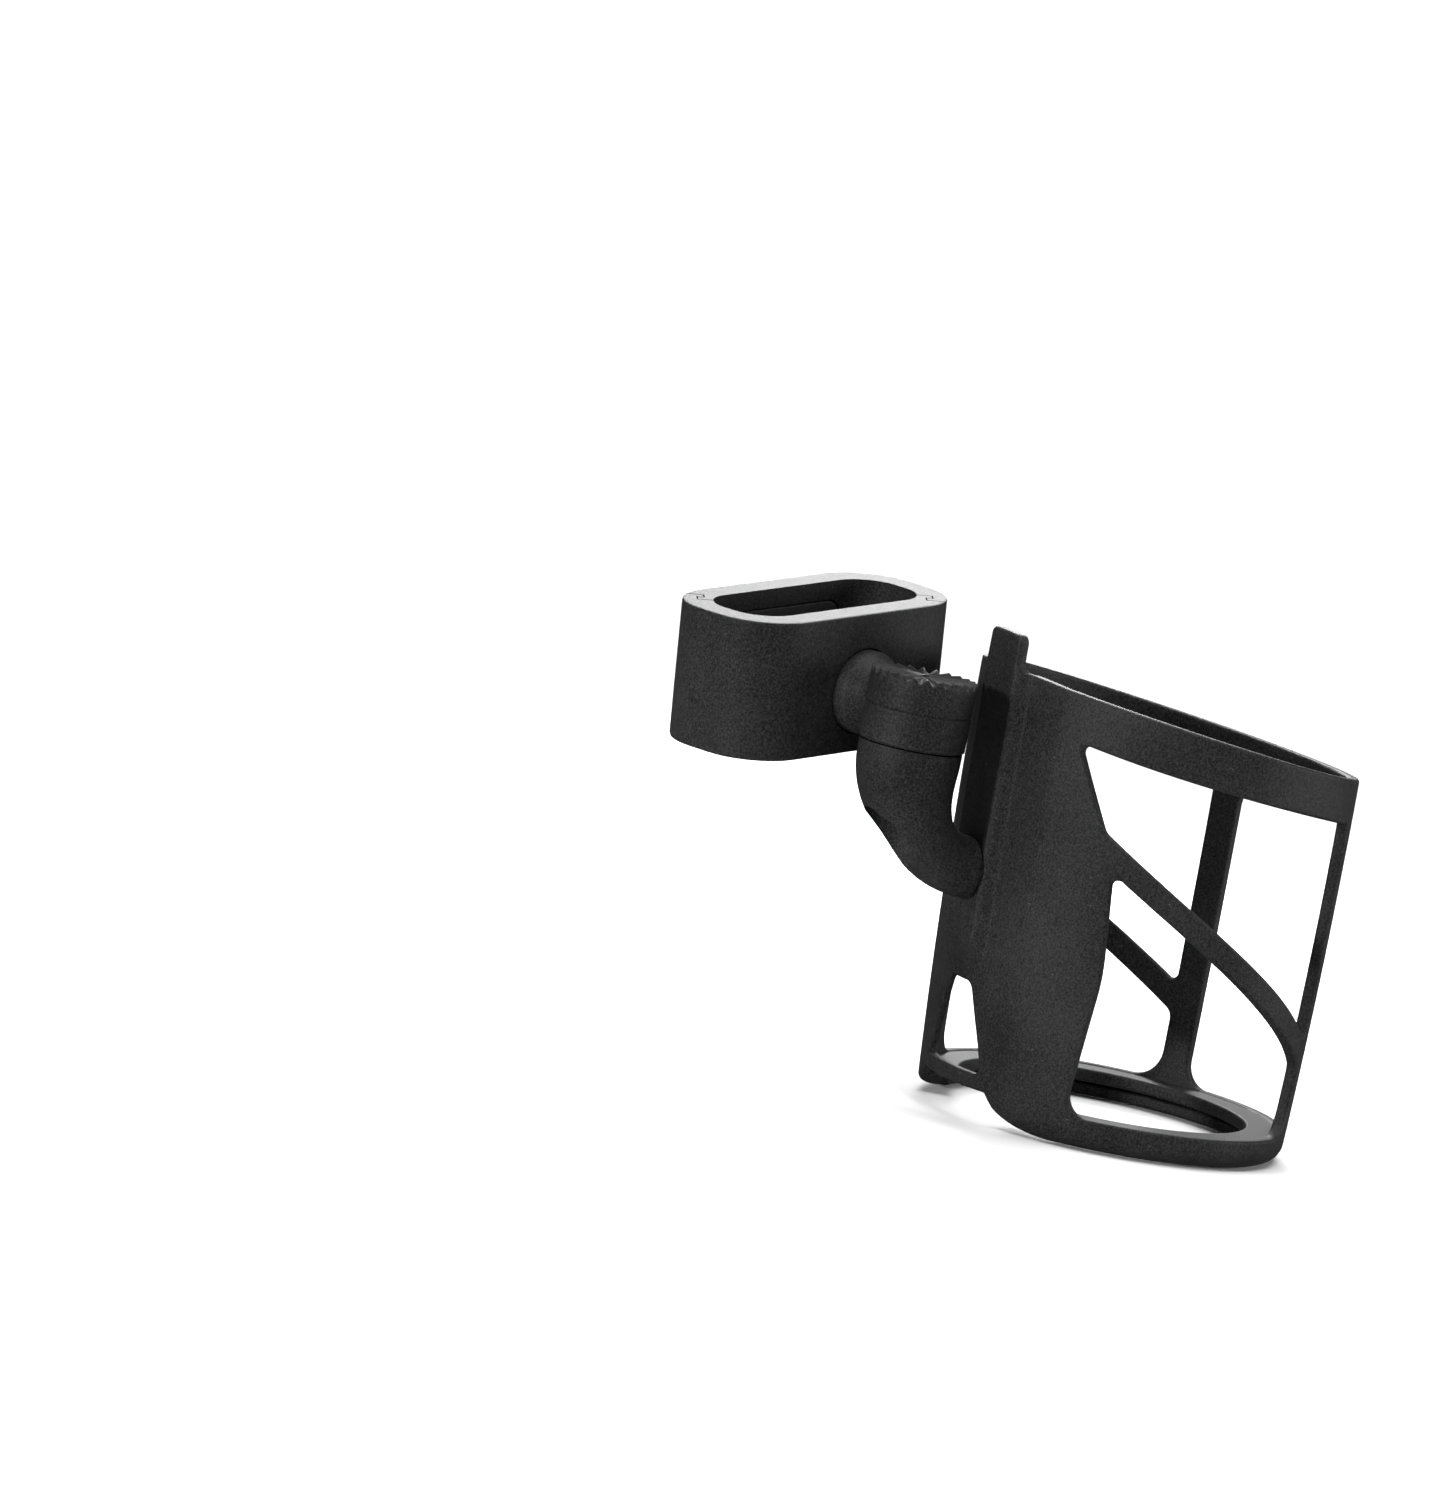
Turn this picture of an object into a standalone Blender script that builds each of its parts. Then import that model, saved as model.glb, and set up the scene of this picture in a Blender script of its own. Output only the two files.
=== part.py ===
# Clamp-on swivel bottle cage: a two-part collar for a flat-oval tube, a toothed knuckle that
# swivels on the collar, an elbow arm that pivots under the knuckle, and a moulded bottle cage.
# Metres, +Z up along the cage axis. The origin is where the swivel axis crosses the tube axis,
# and the swivel stub points along -Y.
import math

import bmesh
import bpy
from mathutils import Matrix, Vector

MM = 0.001

# Clearances
GAP = 0.3 * MM
SEAT = 0.1 * MM

# Collar, in its own frame: X along the tube's wide side, Z along the tube
TUBE_LENGTH = 48.6 * MM
TUBE_DEPTH = 17.9 * MM
TUBE_CORNER = 7.5 * MM
COLLAR_FRONT_WALL = 6.0 * MM
COLLAR_END_WALL = 5.5 * MM
COLLAR_CORNER = 12.5 * MM
COLLAR_HEIGHT = 28.3 * MM
COLLAR_RAISE = 1.65 * MM
COLLAR_RAKE = math.radians(-8.3)
COLLAR_EDGE = 0.5 * MM
SEAM_ANGLE = math.radians(41.6)
HOOK_STEP = 2.1 * MM

# Pads and clamp screws inside the collar
PAD_LENGTH = 34.0 * MM
PAD_HEIGHT = 20.0 * MM
PAD_CORNER = 3.0 * MM
PAD_THICKNESS = 1.3 * MM
CLAMP_SPACING = 24.0 * MM
CLAMP_DIAMETER = 4.0 * MM
CLAMP_LENGTH = 4.2 * MM
CLAMP_INSERT_WALL = 1.1 * MM
CLAMP_INSERT_LENGTH = 4.0 * MM
CLAMP_SOCKET = 2.0 * MM

# Swivel: stub, friction ring and the screw through the collar's front wall
STUB_DIAMETER = 17.0 * MM
STUB_REACH = 15.5 * MM
STUB_NECK = 13.8 * MM
STUB_FLANGE = 1.6 * MM
SOCKET_DEPTH = 2.0 * MM
FRICTION_RING = 0.8 * MM
FRICTION_RING_BORE = 8.0 * MM
SWIVEL_WEB = 1.6 * MM
SWIVEL_DIAMETER = 5.0 * MM
SWIVEL_HEAD = 9.0 * MM
SWIVEL_HEAD_HEIGHT = 1.5 * MM
SWIVEL_WASHER = 0.6 * MM
SWIVEL_SOCKET = 3.0 * MM
SWIVEL_INSERT_WALL = 1.2 * MM
SWIVEL_INSERT_LENGTH = 7.5 * MM

# Knuckle barrel and its toothed faces
BARREL_DIAMETER = 21.5 * MM
BARREL_HEIGHT = 14.4 * MM
TOOTH_COUNT = 24
TOOTH_HEIGHT = 0.9 * MM
TOOTH_RING = 17.6 * MM
TOOTH_RECESS = 1.3 * MM

# Pivot bolt between the knuckle and the arm
PIVOT_DIAMETER = 6.0 * MM
PIVOT_INSERT_WALL = 1.4 * MM
PIVOT_INSERT_LENGTH = 7.5 * MM
PIVOT_HEAD = 10.0 * MM
PIVOT_HEAD_HEIGHT = 3.2 * MM
PIVOT_SOCKET = 5.0 * MM
PIVOT_WASHER = 12.0 * MM
PIVOT_WASHER_THICKNESS = 1.2 * MM
PIVOT_SPRING_THICKNESS = 0.9 * MM
PIVOT_SPRING_CONE = 0.4 * MM
POCKET_CLEARANCE = 0.6 * MM

# Arm, from the knuckle down and across to the cage
ARM_DIAMETER = 20.9 * MM
ARM_STRAIGHT = 2.0 * MM
ARM_WEB = 9.0 * MM
ARM_REACH = 17.45 * MM
ARM_DROP = 11.0 * MM
ARM_RUN = 9.0 * MM
ARM_NARROWING = 0.65
ARM_END_WIDTH = 13.2 * MM
ARM_END_HEIGHT = 12.4 * MM
ARM_END_SQUARE = 2.6
ARM_EDGE = 0.4 * MM

# Cage, in its own frame: X away from the arm, Z up from the underside
CAGE_TURN = math.radians(-19.2)
PIVOT_HEIGHT = 79.5 * MM
RADIUS_BOTTOM = 37.5 * MM
RADIUS_TOP = 39.65 * MM
RADIUS_BULGE = 0.6 * MM
TAPER_HEIGHT = 80.0 * MM
CAGE_LEAN = -2.3 / 80.0
WALL = 2.5 * MM
BASE_EDGE = 4.0 * MM
FOOT_WIDTH = 5.2 * MM
LEDGE_TOP = 6.0 * MM
LEDGE_THICKNESS = 2.7 * MM
LEDGE_WIDTH = 8.0 * MM
RIM_BACK = 90.0 * MM
RIM_SLOPE = 0.142
BAND_HEIGHT = 9.4 * MM
TAB_WIDTH = 11.4 * MM
TAB_RISE = 7.6 * MM
TAB_THICKNESS = 2.5 * MM
TAB_PROUD = 1.6 * MM
RAIL_PROUD = 1.2 * MM
RAIL_FOOT = 30.0 * MM
RAIL_STEPS = 10
TAB_CORNER = 1.6 * MM

# Openings in the cage wall: angles run from the arm side round to the front
PANEL_TOP = math.radians(33.7)
PANEL_MIDDLE = math.radians(46.3)
PANEL_LOWER = math.radians(52.4)
PANEL_WAIST = math.radians(52.0)
PANEL_FOOT = math.radians(48.5)
WAIST_LEVEL = 27.0 * MM
SPINE_START = math.radians(138.0)
SPINE_END = math.radians(147.5)
ELBOW_LEVEL = 63.7 * MM
STRUT_SLOPE = 0.606
STRUT_HEIGHT = 5.9 * MM
SILL_LEVEL = 6.3 * MM
WINDOW_FILLET = 2.6 * MM
POINT_FILLET = 1.4 * MM
SILL_FILLET = 4.5 * MM
WAIST_FILLET = 30.0 * MM
FRONT_FILLET = 5.0 * MM
BACK_BAR_BOTTOM = 6.1 * MM
BACK_BAR = 3.1 * MM
BACK_WINDOW_TOP = 26.7 * MM
BACK_WINDOW_WIDE = math.radians(17.3)
BACK_WINDOW_NARROW = math.radians(6.3)
NOTCH_LENGTH = 18.0 * MM
NOTCH_RISE = 11.0 * MM

# Boss on the cage's back and the screws through it
BOSS_PROUD = 1.65 * MM
BOSS_LEVEL = 49.2 * MM
BOSS_INSET = 0.6 * MM
CAGE_SCREW_SPACING = 6.0 * MM
CAGE_SCREW = 2.5 * MM
CAGE_SCREW_HEAD = 4.5 * MM
CAGE_SCREW_HEAD_HEIGHT = 1.6 * MM
CAGE_SCREW_WEB = 2.2 * MM
CAGE_SCREW_SOCKET = 2.0 * MM
CAGE_INSERT_WALL = 0.8 * MM
CAGE_INSERT_LENGTH = 5.5 * MM

# Facets
WALL_FACETS = 64
ROUND_FACETS = 48
SMALL_FACETS = 24
SMOOTH_ANGLE = math.radians(32.0)


def wall_radius(height):
    share = height / TAPER_HEIGHT
    taper = (RADIUS_TOP - RADIUS_BOTTOM) * share
    return RADIUS_BOTTOM + taper + 4 * RADIUS_BULGE * share * (1 - share)


# Sizes that follow from the ones above
BORE_LENGTH = TUBE_LENGTH + 2 * GAP
BORE_DEPTH = TUBE_DEPTH + 2 * GAP
BORE_CORNER = TUBE_CORNER + GAP
COLLAR_LENGTH = BORE_LENGTH + 2 * COLLAR_END_WALL
COLLAR_DEPTH = BORE_DEPTH + 2 * COLLAR_FRONT_WALL
FRONT_FACE = -COLLAR_DEPTH / 2
PIVOT_Y = FRONT_FACE - STUB_REACH
STUB_END = FRONT_FACE + SOCKET_DEPTH - FRICTION_RING - 2 * SEAT
HEAD_SEAT = FRONT_FACE + SOCKET_DEPTH + SWIVEL_WEB
SWIVEL_INSERT = SWIVEL_DIAMETER + 2 * (GAP + SWIVEL_INSERT_WALL)
PIVOT_INSERT = PIVOT_DIAMETER + 2 * (GAP + PIVOT_INSERT_WALL)
CLAMP_INSERT = CLAMP_DIAMETER + 2 * (GAP + CLAMP_INSERT_WALL)
CAGE_INSERT = CAGE_SCREW + 2 * (GAP + CAGE_INSERT_WALL)
ARM_TOP = -BARREL_HEIGHT / 2 - GAP
POCKET_TOP = ARM_TOP - ARM_WEB
POCKET_RADIUS = PIVOT_WASHER / 2 + POCKET_CLEARANCE
BOSS_REACH = wall_radius(BOSS_LEVEL) - CAGE_LEAN * BOSS_LEVEL + BOSS_PROUD
CAGE_REACH = ARM_REACH + GAP + BOSS_REACH
ARM_END_LEVEL = BOSS_LEVEL - PIVOT_HEIGHT
TAB_TOP = RIM_BACK + TAB_RISE
MEAN_RADIUS = (RADIUS_BOTTOM + RADIUS_TOP) / 2
CUT_INSIDE = RADIUS_BOTTOM - LEDGE_WIDTH - 2 * WALL
CUT_OUTSIDE = RADIUS_TOP + 2 * WALL


# Scene and object helpers

def clear_scene():
    for item in list(bpy.data.objects):
        bpy.data.objects.remove(item, do_unlink=True)


def make_material(name, colour, roughness, metallic):
    material = bpy.data.materials.new(name)
    material.use_nodes = True
    shader = material.node_tree.nodes["Principled BSDF"]
    shader.inputs["Base Color"].default_value = (*colour, 1.0)
    shader.inputs["Roughness"].default_value = roughness
    shader.inputs["Metallic"].default_value = metallic
    return material


def make_empty(name, parent=None, location=(0, 0, 0), rotation=(0, 0, 0)):
    empty = bpy.data.objects.new(name, None)
    bpy.context.scene.collection.objects.link(empty)
    empty.parent = parent
    empty.location = location
    empty.rotation_euler = rotation
    return empty


def make_object(name, bm, material, parent, location=(0, 0, 0), rotation=(0, 0, 0)):
    bmesh.ops.remove_doubles(bm, verts=bm.verts, dist=1e-7)
    bmesh.ops.recalc_face_normals(bm, faces=bm.faces)
    mesh = bpy.data.meshes.new(name)
    bm.to_mesh(mesh)
    bm.free()
    mesh.shade_smooth()
    mesh.set_sharp_from_angle(angle=SMOOTH_ANGLE)
    if material:
        mesh.materials.append(material)
    item = bpy.data.objects.new(name, mesh)
    bpy.context.scene.collection.objects.link(item)
    item.parent = parent
    item.location = location
    item.rotation_euler = rotation
    return item


def make_cutter(name, bm, parent, location=(0, 0, 0), rotation=(0, 0, 0)):
    cutter = make_object(name, bm, None, parent, location, rotation)
    cutter.hide_render = True
    cutter.display_type = "WIRE"
    return cutter


def combine(item, tool, operation):
    step = item.modifiers.new(f"{operation.lower()}_{tool.name}", "BOOLEAN")
    step.operation = operation
    step.object = tool
    step.solver = "EXACT"


# Shape helpers

def turned(profile, facets):
    # A closed profile of (radius, height) points, spun about Z.
    bm = bmesh.new()
    verts = [bm.verts.new((radius, 0, height)) for radius, height in profile]
    edges = [bm.edges.new((a, b)) for a, b in zip(verts, verts[1:] + verts[:1])]
    bmesh.ops.spin(bm, geom=verts + edges, cent=(0, 0, 0), axis=(0, 0, 1),
                   angle=2 * math.pi, steps=facets, use_merge=True)
    bmesh.ops.remove_doubles(bm, verts=bm.verts, dist=1e-7)
    bmesh.ops.dissolve_degenerate(bm, edges=bm.edges, dist=1e-8)
    return bm


def cylinder(radius, low, high, facets):
    bm = bmesh.new()
    place = Matrix.Translation((0, 0, (low + high) / 2))
    bmesh.ops.create_cone(bm, cap_ends=True, segments=facets, radius1=radius, radius2=radius,
                          depth=high - low, matrix=place)
    return bm


def ring(outer, inner, low, high, facets):
    return turned([(outer, high), (outer, low), (inner, low), (inner, high)], facets)


def prism(outline, low, high):
    bm = bmesh.new()
    face = bm.faces.new([bm.verts.new((x, y, low)) for x, y in outline])
    grown = bmesh.ops.extrude_face_region(bm, geom=[face])
    top = [item for item in grown["geom"] if isinstance(item, bmesh.types.BMVert)]
    bmesh.ops.translate(bm, verts=top, vec=(0, 0, high - low))
    return bm


def bevel_level_edges(bm, width, levels):
    # Rounds the edges that lie flat at the given heights.
    chosen = [edge for edge in bm.edges
              if any(all(abs(vert.co.z - level) < 1e-7 for vert in edge.verts) for level in levels)]
    bmesh.ops.bevel(bm, geom=chosen, offset=width, segments=2, profile=0.5, affect="EDGES")


def rounded_rectangle(length, depth, corner, steps=8):
    points = []
    for quarter, (sx, sy) in enumerate(((1, 1), (-1, 1), (-1, -1), (1, -1))):
        centre = Vector((sx * (length / 2 - corner), sy * (depth / 2 - corner)))
        for step in range(steps + 1):
            angle = math.pi / 2 * (quarter + step / steps)
            points.append(centre + corner * Vector((math.cos(angle), math.sin(angle))))
    return points


def fillet(corners, steps=6):
    # Corners are (x, y, radius); each corner is replaced by an arc of that radius.
    points = []
    for index, (x, y, radius) in enumerate(corners):
        here = Vector((x, y))
        before = (Vector(corners[index - 1][:2]) - here).normalized()
        after = (Vector(corners[(index + 1) % len(corners)][:2]) - here).normalized()
        half = before.angle(after) / 2
        if radius == 0 or half > math.pi / 2 - 1e-3:
            points.append(here)
            continue
        centre = here + (before + after).normalized() * radius / math.sin(half)
        start = here + before * radius / math.tan(half) - centre
        sweep = start.angle_signed(here + after * radius / math.tan(half) - centre)
        for step in range(steps + 1):
            turn = -sweep * step / steps
            points.append(centre + Matrix.Rotation(turn, 2) @ start)
    return points


def offset_path(points, distance):
    # Moves an open path sideways, to its right for a positive distance.
    moved = []
    for index, point in enumerate(points):
        sides = []
        for a, b in ((index - 1, index), (index, index + 1)):
            if a >= 0 and b < len(points):
                along = (points[b] - points[a]).normalized()
                sides.append(Vector((along.y, -along.x)))
        side = sum(sides, Vector((0, 0))).normalized()
        moved.append(point + side * distance / side.dot(sides[0]))
    return moved


def hex_socket(across, low, high):
    return cylinder(across / math.sqrt(3), low, high, 6)


# Collar

def seam_path():
    # One seam crosses the collar at the back left corner and, turned half round, at the front
    # right one. Each crossing steps twice, so that the two parts hook together.
    corner = Vector((COLLAR_CORNER - COLLAR_LENGTH / 2, COLLAR_DEPTH / 2 - COLLAR_CORNER))
    bore = Vector((BORE_CORNER - BORE_LENGTH / 2, BORE_DEPTH / 2 - BORE_CORNER))
    out = Vector((-math.cos(SEAM_ANGLE), math.sin(SEAM_ANGLE)))
    along = Vector((math.sin(SEAM_ANGLE), math.cos(SEAM_ANGLE)))
    inner = (bore - corner).dot(out) + BORE_CORNER
    wall = COLLAR_CORNER - inner
    tongue = inner + wall * 0.5
    neck = inner + wall * 0.27
    steps = [(COLLAR_CORNER + wall, 2 * HOOK_STEP), (neck, 2 * HOOK_STEP), (neck, HOOK_STEP),
             (tongue, HOOK_STEP), (tongue, 0), (inner - BORE_CORNER / 2, 0)]
    left = [corner + out * height + along * shift for height, shift in steps]
    return left + [-point for point in reversed(left)]


def half_region(side):
    # The plan area on one side of the seam: 1 for the front part, -1 for the back part.
    path = offset_path(seam_path(), side * GAP / 2)
    far = COLLAR_LENGTH
    ends = [Vector((far, path[-1].y)), Vector((far, -side * far)),
            Vector((-far, -side * far)), Vector((-far, path[0].y))]
    return path + ends


def build_collar_half(name, side, material, frame):
    low = COLLAR_RAISE - COLLAR_HEIGHT / 2
    high = COLLAR_RAISE + COLLAR_HEIGHT / 2
    bm = prism(rounded_rectangle(COLLAR_LENGTH, COLLAR_DEPTH, COLLAR_CORNER, 10), low, high)
    bevel_level_edges(bm, COLLAR_EDGE, (low, high))
    half = make_object(name, bm, material, frame)
    reach = COLLAR_HEIGHT
    bore = prism(rounded_rectangle(BORE_LENGTH, BORE_DEPTH, BORE_CORNER), low - reach, high + reach)
    combine(half, make_cutter(f"{name}_bore", bore, frame), "DIFFERENCE")
    region = prism(half_region(side), low - reach, high + reach)
    combine(half, make_cutter(f"{name}_region", region, frame), "INTERSECT")
    pocket_depth = PAD_THICKNESS + SEAT
    outline = rounded_rectangle(PAD_LENGTH + 2 * GAP, PAD_HEIGHT + 2 * GAP, PAD_CORNER + GAP, 4)
    pocket = prism(outline, -pocket_depth, BORE_DEPTH / 2)
    place = (0, -side * BORE_DEPTH / 2, COLLAR_RAISE)
    turn = (-side * math.pi / 2, 0, 0)
    combine(half, make_cutter(f"{name}_pocket", pocket, frame, place, turn), "DIFFERENCE")
    return half


def build_pad(name, side, material, frame):
    outline = rounded_rectangle(PAD_LENGTH, PAD_HEIGHT, PAD_CORNER, 4)
    place = (0, -side * BORE_DEPTH / 2, COLLAR_RAISE)
    turn = (-side * math.pi / 2, 0, 0)
    return make_object(name, prism(outline, -PAD_THICKNESS, 0), material, frame, place, turn)


def build_collar(plastic, rubber, brass, steel, frame):
    to_front = (math.pi / 2, 0, 0)
    front = build_collar_half("collar_front", 1, plastic, frame)
    stub_socket = cylinder(STUB_DIAMETER / 2 + GAP, -FRONT_FACE - SOCKET_DEPTH, -2 * FRONT_FACE, ROUND_FACETS)
    combine(front, make_cutter("stub_socket", stub_socket, frame, (0, 0, 0), to_front), "DIFFERENCE")
    screw_hole = cylinder(SWIVEL_DIAMETER / 2 + GAP, 0, -2 * FRONT_FACE, SMALL_FACETS)
    combine(front, make_cutter("swivel_hole", screw_hole, frame, (0, 0, 0), to_front), "DIFFERENCE")
    head_hole = cylinder(SWIVEL_HEAD / 2 + 2 * GAP, 0, -HEAD_SEAT, SMALL_FACETS)
    combine(front, make_cutter("swivel_head_hole", head_hole, frame, (0, 0, 0), to_front), "DIFFERENCE")

    back = build_collar_half("collar_back", -1, plastic, frame)
    grip = build_pad("grip_pad", 1, rubber, frame)
    pad_hole = cylinder(SWIVEL_HEAD / 2 + 2 * GAP, 0, -2 * FRONT_FACE, SMALL_FACETS)
    combine(grip, make_cutter("grip_pad_hole", pad_hole, frame, (0, 0, 0), to_front), "DIFFERENCE")
    build_pad("pressure_pad", -1, rubber, frame)

    pad_back = BORE_DEPTH / 2 + PAD_THICKNESS
    for name, x in (("left", -CLAMP_SPACING / 2), ("right", CLAMP_SPACING / 2)):
        place = (x, 0, COLLAR_RAISE)
        to_back = (-math.pi / 2, 0, 0)
        hole = cylinder(CLAMP_INSERT / 2 + GAP, 0, COLLAR_DEPTH, SMALL_FACETS)
        combine(back, make_cutter(f"clamp_hole_{name}", hole, frame, place, to_back), "DIFFERENCE")
        low = pad_back + 2 * SEAT
        insert = ring(CLAMP_INSERT / 2, CLAMP_DIAMETER / 2 + GAP, low, low + CLAMP_INSERT_LENGTH, SMALL_FACETS)
        make_object(f"clamp_insert_{name}", insert, brass, frame, place, to_back)
        tip = pad_back + SEAT
        body = cylinder(CLAMP_DIAMETER / 2, tip, tip + CLAMP_LENGTH, SMALL_FACETS)
        screw = make_object(f"clamp_screw_{name}", body, steel, frame, place, to_back)
        socket = hex_socket(CLAMP_SOCKET, tip + CLAMP_LENGTH / 2, tip + 2 * CLAMP_LENGTH)
        combine(screw, make_cutter(f"clamp_socket_{name}", socket, frame, place, to_back), "DIFFERENCE")

    low = -FRONT_FACE - SOCKET_DEPTH + SEAT
    friction = ring(STUB_DIAMETER / 2 - GAP, FRICTION_RING_BORE / 2, low, low + FRICTION_RING, ROUND_FACETS)
    make_object("swivel_friction_ring", friction, rubber, frame, (0, 0, 0), to_front)


# Knuckle

def toothed_disc(radius, base, face, count):
    # A disc whose upper face carries radial teeth that run out to nothing at the centre.
    facets = 2 * count
    bm = bmesh.new()
    middle = bm.verts.new((0, 0, face - TOOTH_HEIGHT / 2))
    foot = bm.verts.new((0, 0, base))
    rims = []
    for index in range(facets):
        angle = math.pi * index / count
        x, y = radius * math.cos(angle), radius * math.sin(angle)
        height = face - TOOTH_HEIGHT * (index % 2)
        rims.append((bm.verts.new((x, y, height)), bm.verts.new((x, y, base))))
    for index, (upper, lower) in enumerate(rims):
        next_upper, next_lower = rims[(index + 1) % facets]
        bm.faces.new((middle, upper, next_upper))
        bm.faces.new((upper, lower, next_lower, next_upper))
        bm.faces.new((foot, next_lower, lower))
    return bm


def build_knuckle(plastic, brass, steel, frame):
    half = BARREL_HEIGHT / 2
    barrel = toothed_disc(BARREL_DIAMETER / 2, -half, half, TOOTH_COUNT)
    knuckle = make_object("knuckle", barrel, plastic, frame)
    to_back = (-math.pi / 2, 0, 0)
    stub_end = STUB_END - PIVOT_Y
    flare = FRONT_FACE - STUB_FLANGE - PIVOT_Y
    neck = BARREL_DIAMETER / 2
    profile = [(0, stub_end), (STUB_DIAMETER / 2, stub_end), (STUB_DIAMETER / 2, flare),
               (STUB_NECK / 2, neck), (STUB_NECK / 2, 0), (0, 0)]
    stub = make_cutter("stub", turned(profile, ROUND_FACETS), frame, (0, 0, 0), to_back)
    combine(knuckle, stub, "UNION")
    insert_depth = SWIVEL_INSERT_LENGTH + 2 * GAP
    hole = cylinder(SWIVEL_INSERT / 2 + GAP, stub_end - insert_depth, 2 * stub_end, SMALL_FACETS)
    combine(knuckle, make_cutter("stub_hole", hole, frame, (0, 0, 0), to_back), "DIFFERENCE")
    recess = toothed_disc(TOOTH_RING / 2, -2 * half, -half + TOOTH_RECESS, TOOTH_COUNT)
    combine(knuckle, make_cutter("knuckle_teeth", recess, frame), "DIFFERENCE")
    insert_top = -half + TOOTH_RECESS + PIVOT_INSERT_LENGTH + GAP
    bore = cylinder(PIVOT_INSERT / 2 + GAP, -2 * half, insert_top + GAP, SMALL_FACETS)
    combine(knuckle, make_cutter("pivot_bore", bore, frame), "DIFFERENCE")

    insert = ring(PIVOT_INSERT / 2, PIVOT_DIAMETER / 2 + GAP, insert_top - PIVOT_INSERT_LENGTH, insert_top,
                  SMALL_FACETS)
    make_object("pivot_insert", insert, brass, frame)
    insert = ring(SWIVEL_INSERT / 2, SWIVEL_DIAMETER / 2 + GAP, stub_end - SWIVEL_INSERT_LENGTH, stub_end,
                  SMALL_FACETS)
    make_object("swivel_insert", insert, brass, frame, (0, 0, 0), to_back)

    seat = HEAD_SEAT - PIVOT_Y + SEAT
    washer = ring(SWIVEL_HEAD / 2 + GAP, SWIVEL_DIAMETER / 2 + GAP, seat, seat + SWIVEL_WASHER, SMALL_FACETS)
    make_object("swivel_washer", washer, steel, frame, (0, 0, 0), to_back)
    head_low = seat + SWIVEL_WASHER + SEAT
    head_high = head_low + SWIVEL_HEAD_HEIGHT
    tip = stub_end - SWIVEL_INSERT_LENGTH + GAP
    body = turned([(0, head_high), (SWIVEL_HEAD / 2, head_high), (SWIVEL_HEAD / 2, head_low),
                   (SWIVEL_DIAMETER / 2, head_low), (SWIVEL_DIAMETER / 2, tip), (0, tip)], SMALL_FACETS)
    screw = make_object("swivel_screw", body, steel, frame, (0, 0, 0), to_back)
    socket = hex_socket(SWIVEL_SOCKET, head_low, head_high + SWIVEL_HEAD_HEIGHT)
    combine(screw, make_cutter("swivel_socket", socket, frame, (0, 0, 0), to_back), "DIFFERENCE")

    washer_low = POCKET_TOP - SEAT - PIVOT_WASHER_THICKNESS
    spring_low = washer_low - SEAT - PIVOT_SPRING_THICKNESS - PIVOT_SPRING_CONE
    head_high = spring_low - SEAT
    head_low = head_high - PIVOT_HEAD_HEIGHT
    tip = insert_top - GAP
    body = turned([(0, tip), (PIVOT_DIAMETER / 2, tip), (PIVOT_DIAMETER / 2, head_high),
                   (PIVOT_HEAD / 2, head_high), (PIVOT_HEAD / 2, head_low), (0, head_low)], SMALL_FACETS)
    bolt = make_object("pivot_bolt", body, steel, frame)
    socket = hex_socket(PIVOT_SOCKET, head_low - PIVOT_HEAD_HEIGHT, head_low + PIVOT_HEAD_HEIGHT / 2)
    combine(bolt, make_cutter("pivot_socket", socket, frame), "DIFFERENCE")


# Arm

def arm_section(travel):
    # Centre, tangent, half width and half height of the arm at 0 (knuckle) to 1 (cage).
    start = Vector((0, ARM_TOP - ARM_STRAIGHT))
    end = Vector((ARM_REACH, ARM_END_LEVEL))
    bend = (start, start - Vector((0, ARM_DROP)), end - Vector((ARM_RUN, 0)), end)
    weights = ((1 - travel) ** 3, 3 * travel * (1 - travel) ** 2, 3 * travel ** 2 * (1 - travel), travel ** 3)
    centre = sum((weight * point for weight, point in zip(weights, bend)), Vector((0, 0)))
    slopes = (3 * (1 - travel) ** 2, 6 * travel * (1 - travel), 3 * travel ** 2)
    tangent = sum((slope * (b - a) for slope, a, b in zip(slopes, bend, bend[1:])), Vector((0, 0)))
    ease = travel * travel * (3 - 2 * travel)
    width = ARM_DIAMETER / 2 + (ARM_END_WIDTH - ARM_DIAMETER) / 2 * ease
    early = min(1, travel / ARM_NARROWING)
    height = ARM_DIAMETER / 2 + (ARM_END_HEIGHT - ARM_DIAMETER) / 2 * early * early * (3 - 2 * early)
    square = 2 + (ARM_END_SQUARE - 2) * ease
    return centre, tangent.normalized(), width, height, square


def arm_ring(bm, centre, tangent, width, height, square):
    # A rounded section across the tangent; Y is the width, the other way is the height.
    up = Vector((tangent.y, -tangent.x))
    verts = []
    for index in range(ROUND_FACETS):
        angle = 2 * math.pi * index / ROUND_FACETS
        c, s = math.cos(angle), math.sin(angle)
        across = math.copysign(abs(s) ** (2 / square), s) * width
        over = math.copysign(abs(c) ** (2 / square), c) * height
        verts.append(bm.verts.new((centre.x + up.x * over, across, centre.y + up.y * over)))
    return verts


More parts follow.
